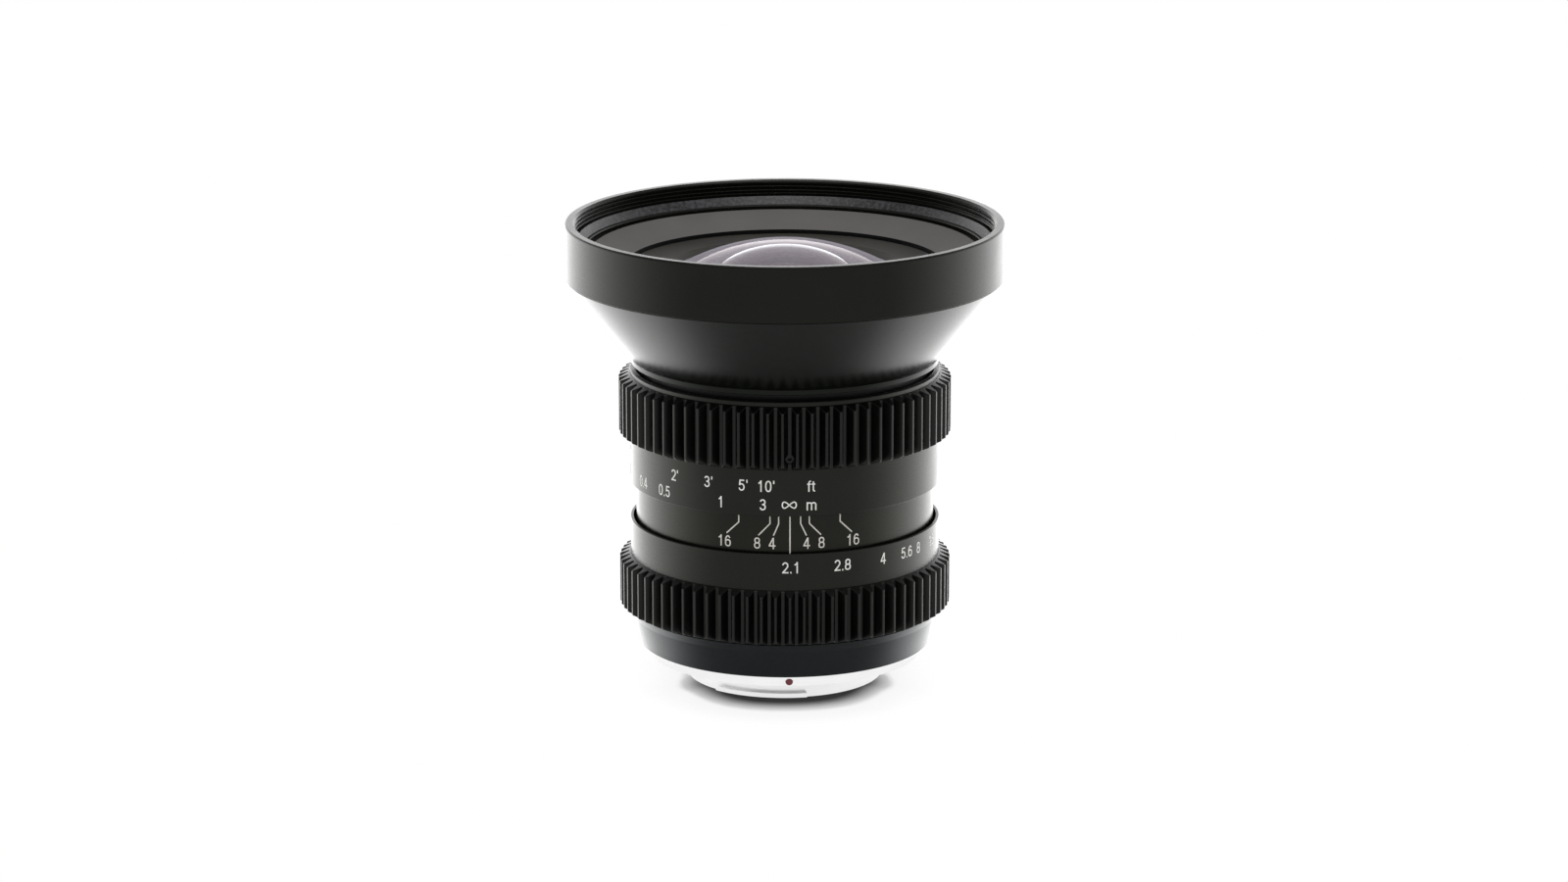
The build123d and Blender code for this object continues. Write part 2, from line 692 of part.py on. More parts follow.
# Focus gear ring: a valley between two teeth stands over the index
with BuildPart() as focus_gear_ring:
    with BuildSketch(Plane.XY.offset(focus_gear_bottom_z)):
        with BuildLine():
            Polyline(*gear_outline(focus_teeth, focus_root_r, focus_tip_r, 180 / focus_teeth), close=True)
        make_face()
    extrude(amount=focus_gear_h)
    gear_bore_r = focus_scale_r + seat_gap
    revolve(
        gear_envelope(gear_bore_r, focus_scale_r, focus_tip_r, focus_gear_bottom_z, focus_scale_top_z),
        axis=Axis.Z,
        mode=Mode.INTERSECT,
    )
    for azimuth in even_azimuths(grub_count):
        with BuildSketch(radial_plane(azimuth, grub_z, gear_bore_r - overrun)):
            Circle(grub_r + seat_gap)
        extrude(amount=focus_tip_r - gear_bore_r + 2 * overrun, mode=Mode.SUBTRACT)
finish(focus_gear_ring.part, "focus_gear_ring")

# Gear grub screws: lock the gear ring and the scale ring to the helicoid
with BuildPart() as gear_grub_screws:
    grub_top_r = focus_root_r - grub_sink
    for azimuth in even_azimuths(grub_count):
        with BuildSketch(radial_plane(azimuth, grub_z, grub_end_r + seat_gap)):
            Circle(grub_r)
        extrude(amount=grub_top_r - grub_end_r - seat_gap)
        with BuildSketch(radial_plane(azimuth, grub_z, grub_top_r - socket_depth)):
            RegularPolygon(socket_r, 6)
        extrude(amount=socket_depth + overrun, mode=Mode.SUBTRACT)
finish(gear_grub_screws.part, "gear_grub_screws")

# Iris scale ring: the thin sleeve with the stop numbers
with BuildPart() as iris_scale_ring:
    iris_bore_r = index_lower_r + run_gap
    iris_step_z = iris_bottom_z + iris_seat_h
    iris_corners = [(iris_bore_r, iris_bottom_z), (iris_scale_r, iris_bottom_z)]
    iris_corners += [(iris_scale_r, iris_top_z), (iris_rim_bore_r, iris_top_z)]
    iris_corners += [(iris_rim_bore_r, iris_step_z), (iris_bore_r, iris_step_z)]
    revolve(section(iris_corners), axis=Axis.Z)
    with BuildSketch(radial_plane(iris_screw_azimuth, drive_screw_z, iris_bore_r - overrun)):
        Circle(drive_screw_r + seat_gap)
    extrude(amount=iris_scale_r - iris_bore_r + 2 * overrun, mode=Mode.SUBTRACT)
    screw_seat_r = (iris_bore_r + iris_scale_r) / 2
    with BuildSketch(radial_plane(iris_screw_azimuth, drive_screw_z, screw_seat_r)):
        Circle(drive_screw_head_r + seat_gap)
    extrude(amount=iris_scale_r - screw_seat_r + overrun, mode=Mode.SUBTRACT)
finish(iris_scale_ring.part, "iris_scale_ring")

# Iris gear ring: a tooth stands over the index
with BuildPart() as iris_gear_ring:
    with BuildSketch(Plane.XY.offset(iris_bottom_z)):
        with BuildLine():
            Polyline(*gear_outline(iris_teeth, iris_root_r, iris_tip_r, 0.0), close=True)
        make_face()
    extrude(amount=iris_gear_h)
    iris_gear_bore_r = iris_scale_r + seat_gap
    revolve(
        gear_envelope(iris_gear_bore_r, iris_scale_r, iris_tip_r, iris_bottom_z, iris_bottom_z + iris_gear_h),
        axis=Axis.Z,
        mode=Mode.INTERSECT,
    )
    with BuildSketch(radial_plane(iris_screw_azimuth, drive_screw_z, iris_gear_bore_r - overrun)):
        Circle(drive_screw_head_r + seat_gap)
    extrude(amount=iris_tip_r - iris_gear_bore_r + 2 * overrun, mode=Mode.SUBTRACT)
finish(iris_gear_ring.part, "iris_gear_ring")

# Iris drive screw: from the iris ring through the index barrel to the cam ring's fork
drive_rise = math.sin(math.radians(blade_turn))
drive_ear_r = math.sqrt(pivot_r**2 + drive_arm**2 + 2 * pivot_r * drive_arm * drive_rise)
fork_floor_r = drive_ear_r + blade_pin_r + blade_pin_gap + fork_wall
with BuildPart() as iris_drive_screw:
    with BuildSketch(radial_plane(iris_screw_azimuth, drive_screw_z, fork_floor_r + key_end_gap)):
        Circle(drive_screw_r)
    extrude(amount=screw_seat_r - fork_floor_r - key_end_gap)
    drive_head_top_r = iris_root_r - drive_screw_head_sink
    with BuildSketch(radial_plane(iris_screw_azimuth, drive_screw_z, screw_seat_r)):
        Circle(drive_screw_head_r)
    extrude(amount=drive_head_top_r - screw_seat_r)
    with BuildSketch(radial_plane(iris_screw_azimuth, drive_screw_z, drive_head_top_r - screw_slot_depth)):
        Rectangle(2 * drive_screw_head_r, screw_slot_width)
    extrude(amount=screw_slot_depth + overrun, mode=Mode.SUBTRACT)
finish(iris_drive_screw.part, "iris_drive_screw")

# Iris housing: the cup that holds the blades' pivots
blade_azimuths = even_azimuths(blade_count)
with BuildPart() as iris_housing:
    cup_corners = [(aperture_r, housing_bottom_z), (housing_r, housing_bottom_z)]
    cup_corners += [(housing_r, barrel_bottom_z), (housing_bore_r, barrel_bottom_z)]
    cup_corners += [(housing_bore_r, housing_floor_top_z), (aperture_r, housing_floor_top_z)]
    revolve(section(cup_corners), axis=Axis.Z)
    with BuildSketch(Plane.XY.offset(housing_floor_top_z)):
        with Locations(*azimuth_points(pivot_r, blade_azimuths)):
            Circle(blade_pin_r + blade_pin_gap)
    extrude(amount=-blade_pivot_depth - blade_pin_gap, mode=Mode.SUBTRACT)
    housing_slot = band(
        housing_bore_r - run_gap,
        housing_r + overrun,
        drive_screw_z - drive_screw_r - window_rise - focus_travel,
        drive_screw_z + drive_screw_r + window_rise,
        slot_start,
    )
    revolve(housing_slot, axis=Axis.Z, revolution_arc=iris_throw + 2 * window_margin, mode=Mode.SUBTRACT)
    housing_screw_ring_r = (rear_cell_r + rear_cell_flange_r) / 2
    housing_screw_places = azimuth_points(
        housing_screw_ring_r, even_azimuths(housing_screw_count, 180 / blade_count)
    )
    with BuildSketch(Plane.XY.offset(housing_bottom_z)):
        with Locations(*housing_screw_places):
            Circle(screw_r + seat_gap)
    extrude(amount=screw_bite / 2 + seat_gap, mode=Mode.SUBTRACT)
finish(iris_housing.part, "iris_housing")


def drive_pin_place(turn):
    """Where a drive pin stands in the cam ring's own frame after the iris ring has turned."""
    swing = math.radians(blade_turn * turn / iris_throw - 90)
    pin_x = pivot_r + drive_arm * math.cos(swing)
    pin_y = drive_arm * math.sin(swing)
    back = math.radians(turn)
    cam_x = pin_x * math.cos(back) - pin_y * math.sin(back)
    cam_y = pin_x * math.sin(back) + pin_y * math.cos(back)
    return (cam_x, cam_y)


def cam_slot_sides(half_width):
    """Both sides of a cam slot, offset from the drive pin's path, and the two end caps' middles."""
    step = iris_throw / (cam_slot_points - 1)
    inner, outer = [], []
    for k in range(cam_slot_points):
        here = drive_pin_place(k * step)
        ahead = drive_pin_place(k * step + step / 10)
        behind = drive_pin_place(k * step - step / 10)
        along = math.atan2(ahead[1] - behind[1], ahead[0] - behind[0])
        shift = (-half_width * math.sin(along), half_width * math.cos(along))
        inner.append((here[0] + shift[0], here[1] + shift[1]))
        outer.append((here[0] - shift[0], here[1] - shift[1]))
        if k == 0:
            start_cap = (here[0] - half_width * math.cos(along), here[1] - half_width * math.sin(along))
        end_cap = (here[0] + half_width * math.cos(along), here[1] + half_width * math.sin(along))
    return inner, outer, start_cap, end_cap


# Cam ring: its curved slots turn the blades, its fork follows the drive screw
with BuildPart() as iris_cam_ring:
    revolve(band(cam_bore_r, cam_r, cam_bottom_z, cam_top_z), axis=Axis.Z)
    slot_inner, slot_outer, slot_start_cap, slot_end_cap = cam_slot_sides(blade_pin_r + blade_pin_gap)
    for azimuth in blade_azimuths:
        with BuildSketch(Plane.XY.offset(cam_bottom_z - overrun).rotated((0, 0, azimuth - 90))):
            with BuildLine():
                Spline(*slot_inner)
                ThreePointArc(slot_inner[-1], slot_end_cap, slot_outer[-1])
                Spline(*reversed(slot_outer))
                ThreePointArc(slot_outer[0], slot_start_cap, slot_inner[0])
            make_face()
        extrude(amount=cam_t + 2 * overrun, mode=Mode.SUBTRACT)
    with BuildSketch(radial_plane(iris_screw_azimuth, drive_screw_z, fork_floor_r)):
        Rectangle(2 * (drive_screw_r + blade_pin_gap), 2 * cam_t)
    extrude(amount=cam_r - fork_floor_r + overrun, mode=Mode.SUBTRACT)
finish(iris_cam_ring.part, "iris_cam_ring")

# Iris blades: each on its own level, a curved band with a pivot below and a drive pin above
for number, azimuth in enumerate(blade_azimuths, start=1):
    level_z = first_blade_z + (number - 1) * blade_step
    flat = Plane.XY.offset(level_z).rotated((0, 0, azimuth - 90))
    with BuildPart() as blade:
        with BuildSketch(flat):
            Circle(blade_band_r)
            Circle(blade_edge_r, mode=Mode.SUBTRACT)
            with BuildLine():
                wedge_r = 2 * blade_band_r
                middle_turn = (blade_start_azimuth + blade_end_azimuth) / 2
                wedge_turns = [blade_start_azimuth, middle_turn, blade_end_azimuth]
                wedge_ways = [math.radians(turn) for turn in wedge_turns]
                wedge = [(wedge_r * math.cos(way), wedge_r * math.sin(way)) for way in wedge_ways]
                Polyline((0, 0), *wedge, close=True)
            make_face(mode=Mode.INTERSECT)
            with Locations(((blade_band_r + pivot_r) / 2 - blade_ear_r, 0)):
                Rectangle(pivot_r - blade_band_r + 2 * blade_ear_r, 2 * blade_ear_r)
            with Locations((pivot_r, 0)):
                Circle(blade_ear_r)
            with Locations((pivot_r, -drive_arm / 2)):
                SlotCenterToCenter(drive_arm, 2 * blade_tail_r, rotation=90)
        extrude(amount=blade_t)
        with BuildSketch(flat):
            with Locations((pivot_r, 0)):
                Circle(blade_pin_r)
        extrude(amount=housing_floor_top_z - blade_pivot_depth - level_z)
        with BuildSketch(flat):
            with Locations((pivot_r, -drive_arm)):
                Circle(blade_pin_r)
        extrude(amount=cam_top_z - blade_drive_reach - level_z)
    finish(blade.part, "iris_blade_" + str(number))

# Iris cover: holds the cam ring down, and the lens barrel holds the cover
with BuildPart() as iris_cover:
    cover_bottom_z = cam_top_z + end_gap
    cover_corners = [(cover_bore_r, cover_bottom_z), (cam_r, cover_bottom_z), (cam_r, barrel_bottom_z)]
    cover_corners += [(cam_r - cover_wall, barrel_bottom_z), (cam_r - cover_wall, cover_bottom_z + cover_t)]
    cover_corners += [(cover_bore_r, cover_bottom_z + cover_t)]
    revolve(section(cover_corners), axis=Axis.Z)
    cover_slot_top_z = drive_screw_z + drive_screw_r + window_rise
    revolve(
        band(fork_floor_r, cam_r + overrun, cover_bottom_z, cover_slot_top_z, slot_start),
        axis=Axis.Z,
        revolution_arc=iris_throw + 2 * window_margin,
        mode=Mode.SUBTRACT,
    )
finish(iris_cover.part, "iris_cover")

# Rear cell: the tube of the last two glasses, screwed under the iris housing
with BuildPart() as rear_cell:
    rear_glass_top_z = housing_bottom_z - rear_cell_lip_h
    cell_corners = [(rear_cell_bore_r, rear_cell_bottom_z), (rear_cell_r, rear_cell_bottom_z)]
    cell_corners += [(rear_cell_r, housing_bottom_z - rear_cell_flange_h)]
    cell_corners += [(rear_cell_flange_r, housing_bottom_z - rear_cell_flange_h)]
    cell_corners += [(rear_cell_flange_r, housing_bottom_z), (rear_cell_lip_r, housing_bottom_z)]
    cell_corners += [(rear_cell_lip_r, rear_glass_top_z), (rear_cell_bore_r, rear_glass_top_z)]
    revolve(section(cell_corners), axis=Axis.Z)
    with BuildSketch(Plane.XY.offset(housing_bottom_z - rear_cell_flange_h)):
        with Locations(*housing_screw_places):
            Circle(screw_r + seat_gap)
    extrude(amount=rear_cell_flange_h, mode=Mode.SUBTRACT)
finish(rear_cell.part, "rear_cell")

# Housing screws: through the rear cell's flange into the iris housing
with BuildPart() as housing_screws:
    housing_screw_seat_z = housing_bottom_z - rear_cell_flange_h
    with BuildSketch(Plane.XY.offset(housing_screw_seat_z - screw_head_h)):
        with Locations(*housing_screw_places):
            Circle(screw_head_r)
    extrude(amount=screw_head_h)
    with BuildSketch(Plane.XY.offset(housing_screw_seat_z)):
        with Locations(*housing_screw_places):
            Circle(screw_r)
    extrude(amount=rear_cell_flange_h + screw_bite / 2)
finish(housing_screws.part, "housing_screws")

# Seventh glass, spacer, eighth glass and retaining ring, from the housing down
seventh_bottom_z = rear_glass_top_z - seventh_glass_edge_h
rear_spacer_bottom_z = seventh_bottom_z - rear_spacer_h
eighth_bottom_z = rear_spacer_bottom_z - eighth_glass_edge_h
rear_glass_r = rear_cell_bore_r - seat_gap
with BuildPart() as seventh_glass:
    lens = lens_section(
        rear_glass_r,
        rear_glass_clear_r,
        rear_glass_clear_r,
        seventh_glass_front_curve,
        seventh_glass_rear_curve,
        seventh_bottom_z,
        rear_glass_top_z,
    )
    revolve(lens, axis=Axis.Z)
finish(seventh_glass.part, "seventh_glass")

with BuildPart() as rear_spacer:
    revolve(band(rear_glass_clear_r, rear_glass_r, rear_spacer_bottom_z, seventh_bottom_z), axis=Axis.Z)
finish(rear_spacer.part, "rear_spacer")

with BuildPart() as eighth_glass:
    lens = lens_section(
        rear_glass_r,
        rear_glass_clear_r,
        rear_glass_clear_r,
        -eighth_glass_front_curve,
        eighth_glass_rear_curve,
        eighth_bottom_z,
        rear_spacer_bottom_z,
    )
    revolve(lens, axis=Axis.Z)
finish(eighth_glass.part, "eighth_glass")

with BuildPart() as rear_retaining_ring:
    rear_ring_bottom_z = eighth_bottom_z - rear_ring_h
    revolve(band(rear_glass_clear_r, rear_glass_r, rear_ring_bottom_z, eighth_bottom_z), axis=Axis.Z)
finish(rear_retaining_ring.part, "rear_retaining_ring")

# Helicoid sleeve: slides in the helicoid, slotted for the guide keys
with BuildPart() as helicoid_sleeve:
    sleeve_flange_z = sleeve_top_z - sleeve_flange_h
    sleeve_corners = [(sleeve_bore_r, sleeve_bottom_z), (helicoid_r, sleeve_bottom_z)]
    sleeve_corners += [(helicoid_r, sleeve_flange_z), (sleeve_flange_r, sleeve_flange_z)]
    sleeve_corners += [(sleeve_flange_r, sleeve_top_z), (sleeve_bore_r, sleeve_top_z)]
    revolve(section(sleeve_corners), axis=Axis.Z)
    slot_top_z = key_bottom_z + key_height + key_end_gap
    for azimuth in even_azimuths(key_count, 90.0):
        slot_middle_z = (sleeve_bottom_z - overrun + slot_top_z) / 2
        with BuildSketch(radial_plane(azimuth, slot_middle_z, helicoid_r / 2)):
            Rectangle(key_width + 2 * seat_gap, slot_top_z - sleeve_bottom_z + overrun)
        extrude(amount=helicoid_r, mode=Mode.SUBTRACT)
    carriage_screw_places = azimuth_points(
        carriage_screw_ring_r, even_azimuths(carriage_screw_count, mount_screw_azimuth)
    )
    with BuildSketch(Plane.XY.offset(sleeve_top_z)):
        with Locations(*carriage_screw_places):
            Circle(screw_r + seat_gap)
    extrude(amount=-screw_bite / 2, mode=Mode.SUBTRACT)
finish(helicoid_sleeve.part, "helicoid_sleeve")

# Cone barrel: the smooth cone between the focus ring and the hood
with BuildPart() as cone_barrel:
    cone_corners = [(sleeve_bore_r, cone_floor_z), (cone_foot_r, cone_floor_z)]
    cone_corners += [(cone_foot_r, cone_start_z), (hood_r, hood_bottom_z), (cone_top_bore_r, hood_bottom_z)]
    cone_corners += [(cone_top_bore_r, cone_deck_z), (hood_r - cone_wall - cone_deck_t, cone_deck_z)]
    cone_corners += [(cone_foot_r - cone_wall, cone_floor_z + cone_floor_t)]
    cone_corners += [(sleeve_bore_r, cone_floor_z + cone_floor_t)]
    revolve(section(cone_corners), axis=Axis.Z)
    with BuildSketch(Plane.XY.offset(cone_floor_z)):
        with Locations(*carriage_screw_places):
            Circle(screw_r + seat_gap)
    extrude(amount=cone_floor_t, mode=Mode.SUBTRACT)
    cell_screw_ring_r = (cone_top_bore_r + front_cell_flange_r) / 2
    cell_screw_places = azimuth_points(cell_screw_ring_r, even_azimuths(cell_screw_count))
    with BuildSketch(Plane.XY.offset(cone_deck_z)):
        with Locations(*cell_screw_places):
            Circle(screw_r + seat_gap)
    extrude(amount=cone_deck_t, mode=Mode.SUBTRACT)
finish(cone_barrel.part, "cone_barrel")

# Lens barrel: the inner tube of the third to sixth glass, its flange on the cone barrel's floor
with BuildPart() as lens_barrel:
    barrel_flange_z = barrel_top_z - barrel_flange_h
    inner_corners = [(barrel_rear_bore_r, barrel_bottom_z), (barrel_r, barrel_bottom_z)]
    inner_corners += [(barrel_r, barrel_flange_z), (barrel_flange_r, barrel_flange_z)]
    inner_corners += [(barrel_flange_r, barrel_top_z), (barrel_bore_r, barrel_top_z)]
    inner_corners += [(barrel_bore_r, barrel_seat_z)]
    inner_corners += [(barrel_glass_clear_r, barrel_seat_z)]
    inner_corners += [(barrel_glass_clear_r, barrel_seat_z - barrel_seat_h)]
    inner_corners += [(barrel_rear_bore_r, barrel_seat_z - barrel_seat_h - barrel_seat_taper_h)]
    revolve(section(inner_corners), axis=Axis.Z)
    with BuildSketch(Plane.XY.offset(barrel_flange_z)):
        with Locations(*carriage_screw_places):
            Circle(screw_r + seat_gap)
    extrude(amount=barrel_flange_h, mode=Mode.SUBTRACT)
finish(lens_barrel.part, "lens_barrel")

# Carriage screws: through the lens barrel's flange and the cone barrel into the sleeve
with BuildPart() as carriage_screws:
    with BuildSketch(Plane.XY.offset(barrel_top_z)):
        with Locations(*carriage_screw_places):
            Circle(carriage_head_r)
    extrude(amount=screw_head_h)
    with BuildSketch(Plane.XY.offset(barrel_top_z)):
        with Locations(*carriage_screw_places):
            Circle(screw_r)
    extrude(amount=-barrel_flange_h - cone_floor_t - screw_bite / 2 + seat_gap)
finish(carriage_screws.part, "carriage_screws")

# Glasses and spacers of the lens barrel, from its mouth down; the third spacer fills what is left above the seat
third_top_z = barrel_top_z - barrel_ring_sink - barrel_ring_h
first_spacer_top_z = third_top_z - third_glass_edge_h
fourth_top_z = first_spacer_top_z - first_spacer_h
second_spacer_top_z = fourth_top_z - fourth_glass_edge_h
fifth_top_z = second_spacer_top_z - second_spacer_h
third_spacer_top_z = fifth_top_z - fifth_glass_edge_h
sixth_top_z = barrel_seat_z + sixth_glass_edge_h
barrel_glass_r = barrel_bore_r - seat_gap
barrel_glasses = [
    ("sixth_glass", -sixth_glass_front_curve, sixth_glass_rear_curve, barrel_seat_z, sixth_top_z),
    ("fifth_glass", fifth_glass_curve, fifth_glass_curve, third_spacer_top_z, fifth_top_z),
    ("fourth_glass", -fourth_glass_curve, -fourth_glass_curve, second_spacer_top_z, fourth_top_z),
    ("third_glass", third_glass_curve, third_glass_curve, first_spacer_top_z, third_top_z),
]
for name, front_curve, rear_curve, bottom_z, top_z in barrel_glasses:
    with BuildPart() as barrel_glass:
        clear_r = barrel_glass_clear_r
        lens = lens_section(barrel_glass_r, clear_r, clear_r, front_curve, rear_curve, bottom_z, top_z)
        revolve(lens, axis=Axis.Z)
    finish(barrel_glass.part, name)

barrel_spacers = [
    ("third_spacer", sixth_top_z, third_spacer_top_z),
    ("second_spacer", fifth_top_z, second_spacer_top_z),
    ("first_spacer", fourth_top_z, first_spacer_top_z),
    ("barrel_retaining_ring", third_top_z, third_top_z + barrel_ring_h),
]
for name, bottom_z, top_z in barrel_spacers:
    with BuildPart() as barrel_spacer:
        revolve(band(barrel_glass_clear_r, barrel_glass_r, bottom_z, top_z), axis=Axis.Z)
    finish(barrel_spacer.part, name)

# Front cell: carries the first two glasses, its flange on the cone barrel's deck
second_bottom_z = second_glass_top_z - second_glass_edge_h
second_ring_top_z = second_glass_top_z + second_ring_h
with BuildPart() as front_cell:
    front_bore_r = front_glass_edge_r + seat_gap
    second_bore_r = second_glass_edge_r + seat_gap
    front_shell_r = front_bore_r + cone_wall
    shell_foot_z = second_bottom_z
    shell_corners = [(second_glass_rear_clear_r, front_cell_bottom_z)]
    shell_corners += [(front_cell_foot_r, front_cell_bottom_z), (front_cell_foot_r, shell_foot_z)]
    shell_corners += [(front_shell_r, front_seat_z)]
    shell_corners += [(front_shell_r, cone_deck_z), (front_cell_r, cell_flange_bottom_z)]
    shell_corners += [(front_cell_flange_r, cell_flange_bottom_z), (front_cell_flange_r, hood_floor_top_z)]
    shell_corners += [(front_cell_r, hood_floor_top_z), (front_cell_r, front_cell_top_z)]
    shell_corners += [(front_bore_r, front_cell_top_z), (front_bore_r, front_seat_z)]
    shell_corners += [(second_bore_r, front_seat_z), (second_bore_r, second_bottom_z)]
    shell_corners += [(second_glass_rear_clear_r, second_bottom_z)]
    revolve(section(shell_corners), axis=Axis.Z)
    with BuildSketch(Plane.XY.offset(cell_flange_bottom_z)):
        with Locations(*cell_screw_places):
            Circle(screw_r + seat_gap)
    extrude(amount=hood_floor_t, mode=Mode.SUBTRACT)
finish(front_cell.part, "front_cell")

# Front cell screws: sunk in the flange, under the name ring
with BuildPart() as front_cell_screws:
    with BuildSketch(Plane.XY.offset(hood_floor_top_z)):
        with Locations(*cell_screw_places):
            Circle(screw_r)
    extrude(amount=-hood_floor_t - cone_deck_t)
finish(front_cell_screws.part, "front_cell_screws")

# Second glass and its ring
with BuildPart() as second_glass:
    lens = lens_section(
        second_glass_edge_r,
        second_glass_clear_r,
        second_glass_rear_clear_r,
        second_glass_front_curve,
        -second_glass_rear_curve,
        second_bottom_z,
        second_glass_top_z,
    )
    revolve(lens, axis=Axis.Z)
finish(second_glass.part, "second_glass")

with BuildPart() as second_glass_ring:
    second_ring_r = second_bore_r - seat_gap
    revolve(band(second_glass_clear_r, second_ring_r, second_glass_top_z, second_ring_top_z), axis=Axis.Z)
finish(second_glass_ring.part, "second_glass_ring")

# Front glass: a strongly curved meniscus
with BuildPart() as front_glass:
    lens = lens_section(
        front_glass_edge_r,
        front_glass_clear_r,
        front_glass_rear_clear_r,
        front_glass_front_curve,
        -front_glass_rear_curve,
        front_seat_z,
        front_glass_top_z,
    )
    revolve(lens, axis=Axis.Z)
finish(front_glass.part, "front_glass")

# Front retaining ring: flat, with a bevel down to the glass
with BuildPart() as front_retaining_ring:
    ring_bottom_z = front_glass_top_z
    ring_corners = [(front_ring_foot_r, ring_bottom_z), (front_cell_r, ring_bottom_z)]
    ring_corners += [(front_cell_r, front_ring_top_z), (front_ring_bore_r, front_ring_top_z)]
    revolve(section(ring_corners), axis=Axis.Z)
finish(front_retaining_ring.part, "front_retaining_ring")

# Name ring: a shallow cone that closes the front
with BuildPart() as name_ring:
    name_rim_r = hood_bore_r - seat_gap
    name_corners = [(name_inner_r, hood_floor_top_z), (name_rim_r, hood_floor_top_z)]
    name_corners += [(name_rim_r, name_outer_top_z - name_groove_depth)]
    name_corners += [(name_outer_r, name_outer_top_z - name_groove_depth), (name_outer_r, name_outer_top_z)]
    name_corners += [(name_inner_r, name_inner_top_z)]
    revolve(section(name_corners), axis=Axis.Z)
finish(name_ring.part, "name_ring")

# Front hood: the rim with the filter thread, cut as evenly spaced grooves
with BuildPart() as front_hood:
    thread_top_z = hood_top_z - thread_lead_in
    thread_turns = math.floor((thread_top_z - throat_top_z - thread_relief) / thread_pitch)
    thread_bottom_z = thread_top_z - thread_turns * thread_pitch
    hood_corners = [(hood_floor_bore_r, hood_bottom_z), (hood_r, hood_bottom_z)]
    hood_corners += [(hood_r, hood_top_z - hood_bevel), (hood_r - hood_bevel, hood_top_z)]
    hood_corners += [(thread_r, hood_top_z), (thread_bore_r, thread_top_z)]
    hood_corners += [(thread_bore_r, thread_bottom_z), (thread_r, thread_bottom_z)]
    hood_corners += [(thread_r, thread_bottom_z - thread_relief), (throat_top_r, throat_top_z)]
    hood_corners += [(throat_r, throat_bottom_z), (hood_bore_r, throat_bottom_z)]
    hood_corners += [(hood_bore_r, hood_floor_top_z), (hood_floor_bore_r, hood_floor_top_z)]
    revolve(section(hood_corners), axis=Axis.Z)
    crest = thread_pitch * thread_crest_share
    groove_mouth_r = thread_bore_r - thread_depth
    for turn in range(thread_turns):
        groove_top_z = thread_top_z - turn * thread_pitch - crest / 2
        groove_bottom_z = groove_top_z - thread_pitch + crest
        groove = [(thread_bore_r, groove_top_z), (thread_r, (groove_top_z + groove_bottom_z) / 2)]
        groove += [(thread_bore_r, groove_bottom_z), (groove_mouth_r, groove_bottom_z)]
        groove += [(groove_mouth_r, groove_top_z)]
        revolve(section(groove), axis=Axis.Z, mode=Mode.SUBTRACT)
finish(front_hood.part, "front_hood")

print("focus travel", round(focus_travel, 4), "mm")
print("blade turn", round(blade_turn, 3), "degrees")
print("iris screw azimuth", round(iris_screw_azimuth, 3), "degrees")
print("thread", round(thread_bottom_z, 3), round(thread_top_z, 3), "radius", round(thread_bore_r, 3))
print("rings", round(iris_tip_r, 3), round(focus_tip_r, 3), "drive screw height", round(drive_screw_z, 3))
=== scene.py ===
"""Cinema prime lens, dressed for its picture.

The lens stands on its bayonet tube with its axis on +Z and its index line facing -Y.
Profiles are written as radius and height in millimetres, and azimuths in degrees from -Y towards +X.
"""

import json
import math

import bpy
import numpy as np
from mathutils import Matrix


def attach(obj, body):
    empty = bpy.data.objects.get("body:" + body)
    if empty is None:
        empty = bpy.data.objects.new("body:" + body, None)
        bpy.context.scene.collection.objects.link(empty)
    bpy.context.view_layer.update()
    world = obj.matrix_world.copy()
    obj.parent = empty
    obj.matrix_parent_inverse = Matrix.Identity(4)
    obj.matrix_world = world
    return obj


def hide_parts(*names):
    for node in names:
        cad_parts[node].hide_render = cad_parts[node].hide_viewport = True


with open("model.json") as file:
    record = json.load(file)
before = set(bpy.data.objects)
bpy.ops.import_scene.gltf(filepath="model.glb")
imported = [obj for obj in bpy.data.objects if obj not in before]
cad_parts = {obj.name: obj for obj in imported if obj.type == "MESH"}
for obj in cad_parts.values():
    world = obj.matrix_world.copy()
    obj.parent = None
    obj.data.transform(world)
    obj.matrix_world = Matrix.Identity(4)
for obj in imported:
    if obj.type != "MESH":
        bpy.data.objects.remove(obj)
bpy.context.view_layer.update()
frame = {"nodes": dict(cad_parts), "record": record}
slot_of_node = {row["node"]: row["material_slot"] for row in frame["record"]["subparts"]}

MM = 0.001
AROUND = 288


# Surfaces


def filled_mesh(name, points, faces, normals=None):
    """Points in millimetres and faces as corner numbers become a mesh, smooth if its normals are given."""
    mesh = bpy.data.meshes.new(name)
    mesh.from_pydata((points * MM).tolist(), [], [list(face) for face in faces])
    mesh.update()
    mesh.polygons.foreach_set("use_smooth", np.full(len(mesh.polygons), normals is not None))
    if normals is not None:
        mesh.normals_split_custom_set_from_vertices(normals.tolist())
    return mesh


